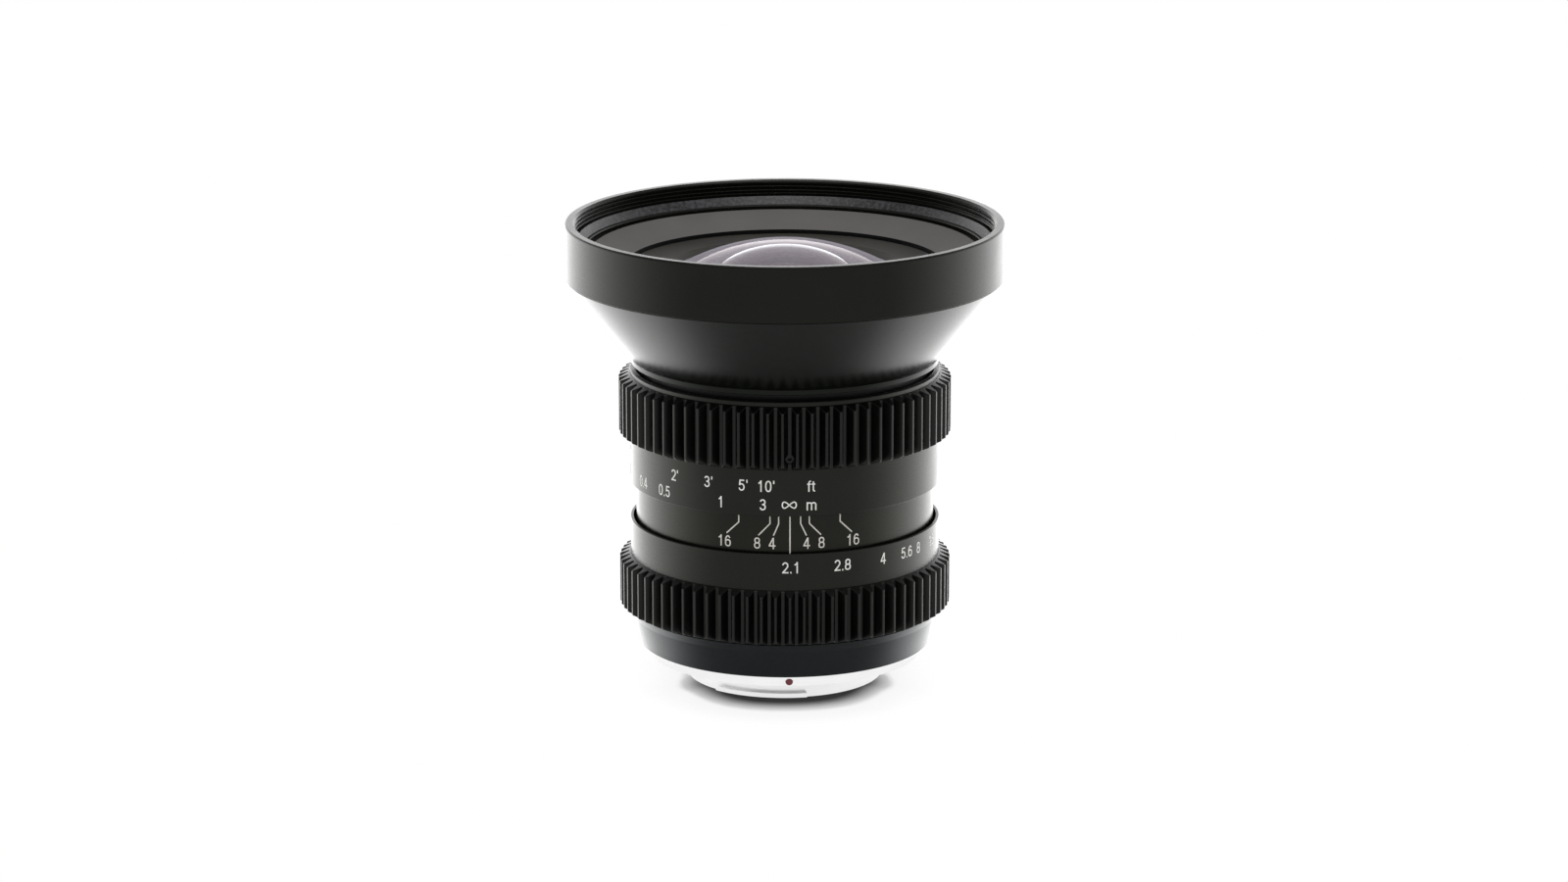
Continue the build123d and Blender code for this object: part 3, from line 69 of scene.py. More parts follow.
def rounded(corners, steps=3):
    """A closed outline with its corners rounded, and the outward normal at each point.

    The outline runs with its material on the left. At a corner that turns by f, an arc of radius q starts
    q * tan(f / 2) before it. A point of the arc is its start + side * q * (n(s) - n(0)), where n(s) is the
    right-hand normal of the first side turned by s * f, and side is 1 at a left turn and -1 at a right turn.
    """
    corners = np.asarray(corners, float)
    place, radius = corners[:, :2], corners[:, 2]
    into = place - np.roll(place, 1, axis=0)
    into /= np.linalg.norm(into, axis=1)[:, None]
    out = np.roll(into, -1, axis=0)
    turn = np.arctan2(into[:, 0] * out[:, 1] - into[:, 1] * out[:, 0], (into * out).sum(axis=1))
    start = place - into * (radius * np.tan(np.abs(turn) / 2))[:, None]
    angle = turn[:, None] * np.linspace(0, 1, steps + 1)[None, :]
    first = np.stack([into[:, 1], -into[:, 0]], axis=1)
    normal = np.stack(
        [
            first[:, :1] * np.cos(angle) - first[:, 1:] * np.sin(angle),
            first[:, :1] * np.sin(angle) + first[:, 1:] * np.cos(angle),
        ],
        axis=-1,
    )
    swing = (np.sign(turn) * radius)[:, None, None]
    points = start[:, None, :] + swing * (normal - first[:, None, :])
    return points.reshape(-1, 2), normal.reshape(-1, 2)


def ring_faces(rows, columns, closed=True):
    """Quads between row j and j + 1 and column i and i + 1; the last column joins the first."""
    j = np.arange(rows if closed else rows - 1)[:, None]
    i = np.arange(columns)[None, :]
    j2, i2 = (j + 1) % rows, (i + 1) % columns
    quads = [j * columns + i, j * columns + i2, j2 * columns + i2, j2 * columns + i]
    return np.stack(quads, axis=-1).reshape(-1, 4)


def around_axis(radius, height, azimuth):
    """The point at a radius, a height and an azimuth is (r sin a, -r cos a, z)."""
    radius, height, azimuth = np.broadcast_arrays(radius, height, azimuth)
    return np.stack([radius * np.sin(azimuth), -radius * np.cos(azimuth), height], axis=-1)


def turned_mesh(name, corners, columns=AROUND, steps=3):
    """A closed profile of (radius, height, corner radius) carried once round the axis."""
    profile, lean = rounded(corners, steps)
    azimuth = np.linspace(0, 2 * np.pi, columns, endpoint=False)[None, :]
    points = around_axis(profile[:, :1], profile[:, 1:], azimuth).reshape(-1, 3)
    normals = around_axis(lean[:, :1], lean[:, 1:], azimuth).reshape(-1, 3)
    return filled_mesh(name, points, ring_faces(len(profile), columns), normals)


def domed_mesh(name, profile, lean, columns):
    """A profile that starts and ends on the axis, carried round it, with a single vertex at each pole."""
    azimuth = np.linspace(0, 2 * np.pi, columns, endpoint=False)[None, :]
    walls = slice(1, -1)
    points = around_axis(profile[walls, :1], profile[walls, 1:], azimuth).reshape(-1, 3)
    normals = around_axis(lean[walls, :1], lean[walls, 1:], azimuth).reshape(-1, 3)
    rows = len(profile) - 2
    ends = np.array([[0, 0, profile[0, 1]], [0, 0, profile[-1, 1]]])
    i = np.arange(columns)
    i2 = (i + 1) % columns
    first, last = rows * columns, rows * columns + 1
    low = np.stack([np.full(columns, first), i2, i], axis=1)
    high = np.stack([np.full(columns, last), (rows - 1) * columns + i, (rows - 1) * columns + i2], axis=1)
    faces = [*ring_faces(rows, columns, closed=False).tolist(), *low.tolist(), *high.tolist()]
    normals = np.concatenate([normals, [[0, 0, -1.0], [0, 0, 1.0]]])
    return filled_mesh(name, np.concatenate([points, ends]), faces, normals)


def gear_mesh(name, teeth, first_tooth, low, high, bore=28.37, root=28.71, tip=30.41,
              tip_width=0.42, valley_width=0.62, foot=28.39, slope=0.9 / 2.02):
    """A gear ring. Its outline goes round the axis as valley, flank, tip and flank, with rounded corners.

    At each point of the outline, at radius r, a column goes from the bore along the lower bevel, which is at
    the height low + slope * (r - foot), up to the bevel at high - slope * (r - foot), and back to the bore.
    """
    pitch = 2 * np.pi / teeth
    half_valley, half_tip = valley_width / 2 / root, tip_width / 2 / tip
    middle = math.radians(first_tooth) + pitch * np.arange(teeth)[:, None]
    azimuth = middle + np.array([[-pitch / 2 + half_valley, -half_tip, half_tip, pitch / 2 - half_valley]])
    radius = np.broadcast_to([[root, tip, tip, root]], azimuth.shape)
    softness = np.broadcast_to([[0.12, 0.09, 0.09, 0.12]], azimuth.shape)
    corners = np.stack([radius * np.sin(azimuth), -radius * np.cos(azimuth), softness], axis=-1)
    outline, _ = rounded(corners.reshape(-1, 3), steps=2)
    r = np.hypot(outline[:, 0], outline[:, 1])
    a = np.arctan2(outline[:, 0], -outline[:, 1])
    edge = 0.07
    bottom, top = low + slope * (r - foot), high - slope * (r - foot)
    same = np.ones_like(r)
    column_r = np.stack([bore * same, foot * same, r - edge, r, r, r - edge, foot * same, bore * same])
    column_z = np.stack([low * same, low * same, bottom - slope * edge, bottom + edge, top - edge,
                         top + slope * edge, high * same, high * same])
    points = around_axis(column_r, column_z, a[None, :]).reshape(-1, 3)
    return filled_mesh(name, points, ring_faces(8, len(r)))


def front_hood_mesh(name):
    """The hood ring with its filter thread.

    On the thread rows the radius is the crest's plus the depth times a groove of the phase
    z / pitch - azimuth / one turn: 0 over the crest's share, then a straight V. The groove fades over the
    run-out at both ends. A fine level groove lies above the first crest. A normal of zero asks for the
    mesh's own smooth normal, and the thread rows have that one.
    """
    crest, low, high, pitch, depth, run_out = 38.09, 82.35, 84.50, 0.75, 0.41, 0.20
    half_groove_share = 0.375
    lead_depth, lead_height, lead_half = 0.16, 84.42, 0.09
    corners = [(37.60, 81.90, 0.10), (36.60, 80.48, 0.08), (35.90, 80.48, 0.30), (35.90, 75.60, 0.04),
               (33.10, 75.60, 0.04), (33.10, 74.85, 0.04), (40.00, 74.85, 0.10), (40.00, 84.90, 0.38),
               (38.50, 84.90, 0.10), (crest, 84.55, 0.05), (crest, 82.30, 0.01), (38.50, 82.30, 0.02),
               (38.50, 82.00, 0.02)]
    corners_before_thread, steps, rows = 10, 4, 60
    outline, outline_lean = rounded(corners, steps)
    cut = corners_before_thread * (steps + 1)
    thread_z = np.linspace(high, low, rows)
    thread = np.stack([np.full(rows, crest), thread_z], axis=1)
    profile = np.concatenate([outline[:cut], thread, outline[cut:]])
    lean = np.concatenate([outline_lean[:cut], np.zeros((rows, 2)), outline_lean[cut:]])
    azimuth = np.linspace(0, 2 * np.pi, AROUND, endpoint=False)[None, :]
    phase = (thread_z[:, None] / pitch - azimuth / (2 * np.pi)) % 1.0
    groove = depth * np.clip(1 - np.abs(phase - 0.5) / half_groove_share, 0, 1)
    fade = np.clip((high - thread_z) / run_out, 0, 1) * np.clip((thread_z - low) / run_out, 0, 1)
    lead = lead_depth * np.clip(1 - np.abs(thread_z - lead_height) / lead_half, 0, 1)
    radius = np.repeat(profile[:, :1], AROUND, axis=1)
    radius[cut:cut + rows] += groove * fade[:, None] + lead[:, None]
    points = around_axis(radius, profile[:, 1:], azimuth).reshape(-1, 3)
    normals = around_axis(lean[:, :1], lean[:, 1:], azimuth).reshape(-1, 3)
    return filled_mesh(name, points, ring_faces(len(profile), AROUND), normals)


def front_glass_mesh(name):
    """The front glass: a dome outside, a hollow inside and a ground edge.

    Both faces are spheres about a point of the axis. The point at the angle t from the axis is
    (curve * sin t, middle + curve * cos t).
    """
    dome_curve, dome_middle, dome_radius = 40.0, 41.06, 19.9
    hollow_curve, hollow_middle, hollow_radius = 22.0, 56.40, 17.0
    inner = np.linspace(0, math.asin(hollow_radius / hollow_curve), 40)[:, None]
    outer = np.linspace(math.asin(dome_radius / dome_curve), 0, 60)[:, None]
    inner = np.concatenate([np.sin(inner), np.cos(inner)], axis=1)
    outer = np.concatenate([np.sin(outer), np.cos(outer)], axis=1)
    hollow = inner * hollow_curve + [0, hollow_middle]
    dome = outer * dome_curve + [0, dome_middle]
    edge = np.array([[17.06, 70.36], [20.50, 70.36], [20.60, 70.46],
                     [20.60, 75.66], [20.50, 75.76], [19.96, 75.76]])
    edge_lean = np.array([[0, -1], [0, -1], [1, 0], [1, 0], [0, 1], [0, 1]], float)
    profile = np.concatenate([hollow, edge, dome])
    lean = np.concatenate([-inner, edge_lean, outer])
    return domed_mesh(name, profile, lean, columns=192)


def drill(mesh, azimuth, height, radius, deepest, past, sides=40):
    """A copy of the mesh with a round hole that points at the axis, from the radius deepest out to past."""
    a = math.radians(azimuth)
    out = np.array([math.sin(a), -math.cos(a), 0.0])
    side = np.array([math.cos(a), math.sin(a), 0.0])
    t = np.linspace(0, 2 * np.pi, sides, endpoint=False)[:, None]
    rim = radius * (np.cos(t) * side + np.sin(t) * np.array([[0, 0, 1.0]]))
    rim = rim + np.array([[0, 0, height]])
    points = np.concatenate([rim + deepest * out, rim + past * out])
    walls = ring_faces(2, sides, closed=False).tolist()
    faces = [*walls, list(range(sides))[::-1], list(range(sides, 2 * sides))]
    cutter = bpy.data.objects.new("drill", filled_mesh("drill", points, faces))
    blank = bpy.data.objects.new("blank", mesh)
    for thing in (cutter, blank):
        bpy.context.scene.collection.objects.link(thing)
    hole = blank.modifiers.new("hole", "BOOLEAN")
    hole.operation, hole.solver, hole.object = "DIFFERENCE", "EXACT", cutter
    result = bpy.data.meshes.new_from_object(blank.evaluated_get(bpy.context.evaluated_depsgraph_get()))
    for thing in (cutter, blank):
        bpy.data.objects.remove(thing)
    return result


def lathe_normals(mesh):
    """Each corner of a face that lies round the axis gets its normal turned about the axis to the corner.

    A face lies round the axis where the flat part of its normal points along the radius, within the slack.
    """
    slack = 0.004
    count = len(mesh.loops)
    vertex = np.empty(count, int)
    mesh.loops.foreach_get("vertex_index", vertex)
    spot = np.empty(len(mesh.vertices) * 3)
    mesh.vertices.foreach_get("co", spot)
    spot = spot.reshape(-1, 3)[vertex]
    facing = np.empty(len(mesh.polygons) * 3)
    mesh.polygons.foreach_get("normal", facing)
    sides = np.empty(len(mesh.polygons), int)
    mesh.polygons.foreach_get("loop_total", sides)
    facing = np.repeat(facing.reshape(-1, 3), sides, axis=0)
    outward = spot[:, :2] / np.linalg.norm(spot[:, :2], axis=1)[:, None]
    along = (facing[:, :2] * outward).sum(axis=1)
    flat = np.hypot(facing[:, 0], facing[:, 1])
    lathe = flat - np.abs(along) < slack
    turned = np.concatenate([outward * (np.sign(along) * flat)[:, None], facing[:, 2:]], axis=1)
    normals = np.where(lathe[:, None], turned, facing)
    mesh.polygons.foreach_set("use_smooth", np.ones(len(mesh.polygons), bool))
    mesh.normals_split_custom_set(normals.tolist())
    return mesh


# Painted marks


def stroke(path, width, closed=False):
    """A painted line on the unrolled barrel, as a flat bar with four corners at each point of its path.

    Each point moves by half the width along the mitre of its two sides: the sum of their normals over
    1 + their cosine. The bar reaches the sink below the barrel's surface and as far above it.
    """
    sink = 0.02
    path = np.asarray(path, float)
    step = np.roll(path, -1, axis=0) - path
    step /= np.maximum(np.linalg.norm(step, axis=1), 1e-9)[:, None]
    before = np.roll(step, 1, axis=0)
    if not closed:
        step[-1], before[0] = step[-2], step[0]
    across = np.stack([-(step + before)[:, 1], (step + before)[:, 0]], axis=1)
    across /= (1 + (step * before).sum(axis=1))[:, None]
    half = width / 2
    left, right = path + across * half, path - across * half
    count = len(path)
    flat = np.concatenate([left, right, right, left])
    depth = np.repeat([-sink, -sink, sink, sink], count)[:, None]
    sides = ring_faces(4, count).reshape(4, count, 4)
    if closed:
        faces = sides.reshape(-1, 4).tolist()
    else:
        faces = sides[:, :-1].reshape(-1, 4).tolist()
        start = np.arange(4) * count
        faces += [start.tolist(), (start[::-1] + count - 1).tolist()]
    return np.concatenate([flat, depth], axis=1), faces


def bow(x, y, wide, tall, first, last, count=14):
    """Part of an ellipse: (x + wide cos t, y + tall sin t), t from first to last in degrees."""
    t = np.radians(np.linspace(first, last, count))
    return np.stack([x + wide * np.cos(t), y + tall * np.sin(t)], axis=1)


def sweep(start, pull, end, count=9):
    """A bend from start to end drawn towards pull: (1 - t)^2 start + 2 t (1 - t) pull + t^2 end."""
    t = np.linspace(0, 1, count)[:, None]
    start, pull, end = np.array(start), np.array(pull), np.array(end)
    return (1 - t) ** 2 * start + 2 * t * (1 - t) * pull + t ** 2 * end


def line(*stops):
    """A path straight from stop to stop."""
    return np.array(stops, float)


def egg(x, y, wide, tall, count=36):
    """A closed loop with full shoulders: cos t and sin t taken to a power below 1, with their signs kept."""
    power = 0.82
    t = np.linspace(0, 2 * np.pi, count, endpoint=False)
    c, s = np.cos(t), np.sin(t)
    c, s = np.sign(c) * np.abs(c) ** power, np.sign(s) * np.abs(s) ** power
    return np.stack([x + wide * c, y + tall * s], axis=1)


# Each sign is its advance, its closed loops and its open lines, in millimetres about its middle
FIGURE_LINE = 0.235
SIGNS = {
    "0": (1.45, [egg(0, 0, 0.45, 0.91)], []),
    "1": (1.45, [], [line((0.13, 1.05), (0.13, -1.05)),
                     sweep((-0.33, 0.50), (0.0, 0.62), (0.12, 0.98), 6)]),
    "2": (1.45, [], [np.concatenate([bow(0, 0.42, 0.44, 0.49, 172, -12),
                                     sweep((0.42, 0.22), (0.20, -0.20), (-0.40, -0.84))]),
                     line((-0.56, -0.91), (0.57, -0.91))]),
    "3": (1.45, [], [np.concatenate([bow(-0.02, 0.47, 0.41, 0.44, 165, -82), line((-0.14, 0.03))]),
                     np.concatenate([line((-0.14, 0.03)), bow(-0.02, -0.43, 0.46, 0.48, 82, -168)])]),
    "4": (1.45, [], [line((0.22, 1.05), (0.22, -1.05)),
                     line((0.18, 0.98), (-0.50, -0.41)),
                     line((-0.60, -0.44), (0.62, -0.44))]),
    "5": (1.45, [], [line((0.47, 0.91), (-0.29, 0.91), (-0.39, -0.02)),
                     bow(-0.02, -0.33, 0.46, 0.58, 140, -165)]),
    "6": (1.45, [egg(0, -0.36, 0.45, 0.55)], [bow(0.0, 0.0, 0.45, 0.91, 186, 38)]),
    "8": (1.45, [egg(0, 0.47, 0.39, 0.44), egg(0, -0.43, 0.45, 0.48)], []),
    ".": (0.55, [], [line((0, -0.76), (0, -1.05))]),
    "'": (0.50, [], [line((0, 1.05), (0, 0.48))]),
    "f": (0.80, [], [np.concatenate([line((0, -1.05), (0, 0.55)), bow(0.30, 0.60, 0.30, 0.31, 175, 80, 6)]),
                     line((-0.30, 0.36), (0.36, 0.36))]),
    "t": (0.80, [], [np.concatenate([line((0, 0.86), (0, -0.65)), bow(0.26, -0.66, 0.26, 0.26, 185, 280, 6)]),
                     line((-0.30, 0.36), (0.34, 0.36))]),
    "m": (2.0, [], [line((-0.77, 0.48), (-0.77, -1.05)),
                    np.concatenate([bow(-0.385, -0.02, 0.385, 0.37, 170, 0), line((0.0, -1.05))]),
                    np.concatenate([bow(0.385, -0.02, 0.385, 0.37, 170, 0), line((0.77, -1.05))])]),
}


def word(signs):
    """Figures drawn with strokes of one width, 2.1 mm tall, set side by side and centred.

    Each stroke lies one layer higher than the last, so that strokes that cross don't share a face.
    """
    layer_rise = 0.0012
    points, faces, count, along, layer = [], [], 0, 0.0, 0
    for sign in signs:
        advance, loops, open_lines = SIGNS[sign]
        for path, closed in [(loop, True) for loop in loops] + [(bar, False) for bar in open_lines]:
            flat, corners = stroke(path, FIGURE_LINE, closed)
            flat = flat + np.array([along + advance / 2, 0, layer_rise * layer])
            points.append(flat)
            faces += [[number + count for number in corner] for corner in corners]
            count, layer = count + len(flat), layer + 1
        along += advance
    points = np.concatenate(points)
    points[:, 0] -= (points[:, 0].max() + points[:, 0].min()) / 2
    return points, faces


def infinity_sign(wide=2.70, tall=1.34, width=0.215):
    """The sign for far away, as one closed stroke.

    Its path is (half the width * cos u, height * sin u * cos u), with u = t - swell * sin 2t.
    """
    swell = 0.16
    t = np.linspace(0, 2 * np.pi, 96, endpoint=False)
    u = t - swell * np.sin(2 * t)
    path = np.stack([(wide - width) / 2 * np.cos(u), (tall - width) * np.sin(u) * np.cos(u)], axis=1)
    return stroke(path, width, closed=True)


def marks_mesh(name, radius, marks):
    """Flat marks rolled on to a barrel: azimuth = the mark's azimuth + its width / radius."""
    points, faces, count = [], [], 0
    for azimuth, height, (flat, corners) in marks:
        turn = math.radians(azimuth) + flat[:, 0] / radius
        points.append(around_axis(radius + flat[:, 2], height + flat[:, 1], turn))
        faces += [[number + count for number in corner] for corner in corners]
        count += len(flat)
    return filled_mesh(name, np.concatenate(points), faces)


# Materials


class Wire:
    """The output of a node, on which sums can be written."""

    def __init__(self, tree, socket):
        self.tree, self.socket = tree, socket

    def worked(self, operation, first, second):
        """The output of a maths node that takes the two."""
        node = self.tree.nodes.new("ShaderNodeMath")
        node.operation = operation
        plug(self.tree, node.inputs[0], first)
        plug(self.tree, node.inputs[1], second)
        return Wire(self.tree, node.outputs[0])

    def __add__(self, other):
        return self.worked("ADD", self, other)

    def __mul__(self, other):
        return self.worked("MULTIPLY", self, other)

    def __sub__(self, other):
        return self.worked("SUBTRACT", self, other)

    def __rsub__(self, other):
        return self.worked("SUBTRACT", other, self)

    def __truediv__(self, other):
        return self.worked("DIVIDE", self, other)

    def __pow__(self, other):
        return self.worked("POWER", self, other)

    __radd__, __rmul__ = __add__, __mul__

    def at_least(self, other):
        return self.worked("MAXIMUM", self, other)


def plug(tree, socket, value):
    """Links a wire to a socket, or sets the socket's own value."""
    if isinstance(value, Wire):
        tree.links.new(value.socket, socket)
    elif isinstance(value, tuple) and len(value) == 3 and socket.type == "RGBA":
        socket.default_value = (*value, 1.0)
    else:
        socket.default_value = value


class Finish:
    """A material or a world being made, with one way to add any node."""

    def __init__(self, owner):
        owner.use_nodes = True
        self.owner, self.tree = owner, owner.node_tree
        self.tree.nodes.clear()

    def add(self, kind, settings=None, inputs=None, output=0):
        node = self.tree.nodes.new(kind)
        for key, value in (settings or {}).items():
            if key == "stops":
                while len(node.color_ramp.elements) < len(value):
                    node.color_ramp.elements.new(0.5)
                for stop, (place, shade) in zip(node.color_ramp.elements, value):
                    stop.position, stop.color = place, (shade, shade, shade, 1.0)
            else:
                setattr(node, key, value)
        for key, value in (inputs or {}).items():
            plug(self.tree, node.inputs[key], value)
        return Wire(self.tree, node.outputs[output]) if node.outputs else node

    def place(self):
        return self.add("ShaderNodeTexCoord", output="Object")

    def parts(self, vector):
        node = self.tree.nodes.new("ShaderNodeSeparateXYZ")
        plug(self.tree, node.inputs[0], vector)
        return [Wire(self.tree, socket) for socket in node.outputs]

    def noise(self, vector, scale, detail=2.0, roughness=0.5):
        """Noise from 0 to 1 with features about 1 / scale metres across."""
        return self.add("ShaderNodeTexNoise", None,
                        {"Vector": vector, "Scale": scale, "Detail": detail, "Roughness": roughness})

    def lathe_place(self, stretch=0.02):
        """(radius, a little of x + y, height): noise on it runs in rings, as a turning tool leaves them."""
        place = self.place()
        flat = self.add("ShaderNodeVectorMath", {"operation": "MULTIPLY"}, {0: place, 1: (1.0, 1.0, 0.0)})
        radius = self.add("ShaderNodeVectorMath", {"operation": "LENGTH"}, {0: flat}, output="Value")
        x, y, z = self.parts(place)
        return self.add("ShaderNodeCombineXYZ", None, {0: radius, 1: (x + y) * stretch, 2: z})

    def ramp(self, value, *stops):
        return self.add("ShaderNodeValToRGB", {"stops": stops}, {0: value})

    def spread(self, value, low, high):
        """0 up to low and 1 from high on, with a soft rise between them."""
        return self.add("ShaderNodeMapRange", {"interpolation_type": "SMOOTHSTEP"},
                        {"Value": value, "From Min": low, "From Max": high})

    def blend(self, share, first, second):
        return self.add("ShaderNodeMix", {"data_type": "RGBA"}, {0: share, 6: first, 7: second}, output=2)

    def bump(self, height, depth):
        """A bump whose full height is depth millimetres."""
        return self.add("ShaderNodeBump", None, {"Height": height, "Distance": depth * MM, "Strength": 1.0})

    def surface(self, **sockets):
        named = {key.replace("_", " "): value for key, value in sockets.items()}
        shader = self.add("ShaderNodeBsdfPrincipled", None, named)
        self.add("ShaderNodeOutputMaterial", None, {"Surface": shader})
        return self.owner


def new_finish(name):
    return Finish(bpy.data.materials.new(name))


def anodised(name, deep, worn, gloss, grain=0.5, rings=0.05, tint=(1.0, 1.0, 1.0), level=0.24, cloud=90.0):
    """Black anodised aluminium: fine blasted grain, faint turning rings, and a patchy sheen.

    deep and worn are its two colours, and cloud is the scale of the patches. grain and rings are the
    shares of the grain and of the turning rings in the bump.
    """
    f = new_finish(name)
    place, lathe = f.place(), f.lathe_place()
    speck = f.noise(place, 6500.0, 2.0, 0.6)
    patch = f.noise(place, cloud, 3.0, 0.55)
    ring = f.noise(lathe, 5200.0, 2.0, 0.5)
    shade = f.spread(patch * 0.6 + speck * 0.4, 0.30, 0.72)
    return f.surface(
        Base_Color=f.blend(shade, deep, worn),
        Roughness=gloss + (patch - 0.5) * 0.14 + (speck - 0.5) * 0.14 + (ring - 0.5) * 0.04,
        Specular_IOR_Level=level,
        Specular_Tint=tint,
        Normal=f.bump(speck * grain + ring * rings, 0.004),
    )


def cast_black(name):
    """The throat of the hood: black with a coarse stippled paint."""
    f = new_finish(name)
    place = f.place()
    stipple = f.noise(place, 1500.0, 3.0, 0.7)
    patch = f.noise(place, 120.0)
    return f.surface(
        Base_Color=f.blend(f.spread(stipple, 0.42, 0.62), (0.003, 0.003, 0.004), (0.040, 0.038, 0.043)),
        Roughness=0.34 + (patch - 0.5) * 0.2 + (stipple - 0.5) * 0.3,
        Specular_IOR_Level=0.5,
        Normal=f.bump(stipple, 0.09),
    )


def turned_metal(name, colour, shade, gloss, depth=0.004, metal=1.0):
    """Bare turned metal: rings from the tool, and a soft uneven polish."""
    f = new_finish(name)
    place, lathe = f.place(), f.lathe_place()
    ring = f.noise(lathe, 3800.0, 3.0, 0.6)
    patch = f.noise(place, 160.0, 3.0)
    speck = f.noise(place, 5200.0)
    return f.surface(
        Base_Color=f.blend(f.spread(patch * 0.7 + ring * 0.3, 0.3, 0.7), shade, colour),
        Metallic=metal,
        Roughness=gloss + (patch - 0.5) * 0.14 + (ring - 0.5) * 0.12,
        Normal=f.bump(ring + speck * 0.3, depth),
    )


def glass(name, tint, film, film_index, painted_sheen_share):
    """Polished glass with a coating. Seen along the surface, a milky lavender matte layer is mixed in: a
    painted sheen that stands in for the coating's reflection.

    The coating is film nanometres thick. The last argument is the painted sheen's share where the surface is
    seen edge on.
    """
    f = new_finish(name)
    place = f.place()
    dust = f.spread(f.noise(place, 2600.0, 2.0), 0.68, 0.82)
    smear = f.noise(place, 90.0, 3.0)
    polish = 0.006 + dust * 0.05 + (smear - 0.5) * 0.008
    clear = f.add("ShaderNodeBsdfPrincipled", None, {
        "Base Color": f.blend(smear, tint, tuple(0.985 * part for part in tint)), "Roughness": polish,
        "IOR": 1.60, "Transmission Weight": 1.0, "Thin Film Thickness": film, "Thin Film IOR": film_index})
    # Painted sheen: a milky lavender matte layer standing in for the coating's reflection, mixed in where the
    # glass is seen edge on.
    painted_sheen = f.add("ShaderNodeBsdfPrincipled", None, {
        "Base Color": f.blend(smear, (0.58, 0.53, 0.60), (0.62, 0.58, 0.66)), "Roughness": 0.35 + dust * 0.1,
        "IOR": 1.60, "Specular IOR Level": 0.0})
    facing = f.add("ShaderNodeLayerWeight", None, {"Blend": 0.5}, output="Facing")
    both = f.add("ShaderNodeMixShader", None, {0: facing * (smear * 0.2 + 0.9) * painted_sheen_share, 1: clear, 2: painted_sheen})
    f.add("ShaderNodeOutputMaterial", None, {"Surface": both})
    return f.owner


def painted(name, colour, worn, gloss, coat=0.0):
    """Paint or enamel: small pits, and a slightly uneven film."""
    f = new_finish(name)
    place = f.place()
    pits = f.noise(place, 7000.0, 2.0, 0.6)
    film = f.noise(place, 900.0, 2.0)
    return f.surface(
        Base_Color=f.blend(f.spread(pits * 0.5 + film * 0.5, 0.36, 0.62), worn, colour),
        Roughness=gloss + (film - 0.5) * 0.2,
        Coat_Weight=coat,
        Normal=f.bump(pits + film, 0.003),
    )


def blade_steel(name):
    """Blackened blade steel: fine grinding lines all one way, and rubbed patches."""
    f = new_finish(name)
    place = f.place()
    lines = f.noise(f.add("ShaderNodeMapping", None, {0: place, 3: (1.0, 0.04, 1.0)}), 5200.0, 2.0)
    patch = f.noise(place, 300.0, 3.0)
    return f.surface(
        Base_Color=f.blend(f.spread(patch, 0.35, 0.7), (0.012, 0.012, 0.013), (0.035, 0.034, 0.033)),
        Metallic=0.4,
        Roughness=0.38 + (lines - 0.5) * 0.2 + (patch - 0.5) * 0.12,
        Normal=f.bump(lines, 0.003),
    )


finish_of_slot = {
    "hood_black": anodised("hood_black", (0.0022, 0.0024, 0.0019), (0.0042, 0.0044, 0.0036), 0.28,
                           tint=(0.98, 1.0, 0.88), level=0.18),
    "cone_black": anodised("cone_black", (0.0020, 0.0027, 0.0020), (0.0038, 0.0046, 0.0037), 0.24,
                           tint=(0.94, 1.0, 0.90), level=0.16),
    # Its grey is a painted highlight of the light from above, worn only by the name band's face that looks up
    "name_ring_black": anodised("name_ring_black", (0.114, 0.110, 0.105), (0.132, 0.127, 0.122), 0.60,
                                rings=0.4, level=0.06),
    "olive_ring": anodised("olive_ring", (0.026, 0.025, 0.021), (0.038, 0.036, 0.031), 0.50, rings=0.5),
    "gear_black": anodised("gear_black", (0.0008, 0.0009, 0.0008), (0.0020, 0.0021, 0.0018), 0.32,
                           tint=(0.98, 1.0, 0.94), level=0.30),
    "scale_black": anodised("scale_black", (0.0024, 0.0025, 0.0020), (0.0046, 0.0047, 0.0039), 0.28,
                            tint=(0.98, 1.0, 0.88)),
    "barrel_black": anodised("barrel_black", (0.0020, 0.0020, 0.0016), (0.0040, 0.0040, 0.0033), 0.28,
                             tint=(0.98, 1.0, 0.86)),
    "rear_black": anodised("rear_black", (0.0018, 0.0024, 0.0027), (0.0036, 0.0044, 0.0048), 0.30,
                           tint=(0.90, 0.97, 1.0)),
    "inner_black": anodised("inner_black", (0.0016, 0.0016, 0.0016), (0.0036, 0.0036, 0.0036), 0.42,
                            rings=0.4, cloud=200.0),
    "baffle_black": anodised("baffle_black", (0.002, 0.002, 0.002), (0.005, 0.005, 0.005), 0.70,
                             grain=1.0, level=0.3),
    "blade_black": blade_steel("blade_black"),
    "flange_silver": turned_metal("flange_silver", (0.95, 0.952, 0.95), (0.90, 0.902, 0.90), 0.30,
                                  depth=0.002),
    "screw_steel": turned_metal("screw_steel", (0.62, 0.62, 0.61), (0.45, 0.45, 0.45), 0.30),
    "screw_black": turned_metal("screw_black", (0.022, 0.021, 0.020), (0.012, 0.012, 0.012), 0.30,
                                metal=0.7),
    "brass_thread": turned_metal("brass_thread", (0.72, 0.50, 0.22), (0.55, 0.37, 0.15), 0.30),
    "red_enamel": painted("red_enamel", (0.16, 0.012, 0.022), (0.10, 0.008, 0.015), 0.35, coat=0.4),
    "coated_glass": glass("coated_glass", (0.985, 0.97, 1.0), 122.0, 1.38, painted_sheen_share=0.5),
    "inner_glass": glass("inner_glass", (0.97, 0.985, 0.98), 112.0, 1.38, painted_sheen_share=0.1),
}
throat_finish = cast_black("throat_stipple")
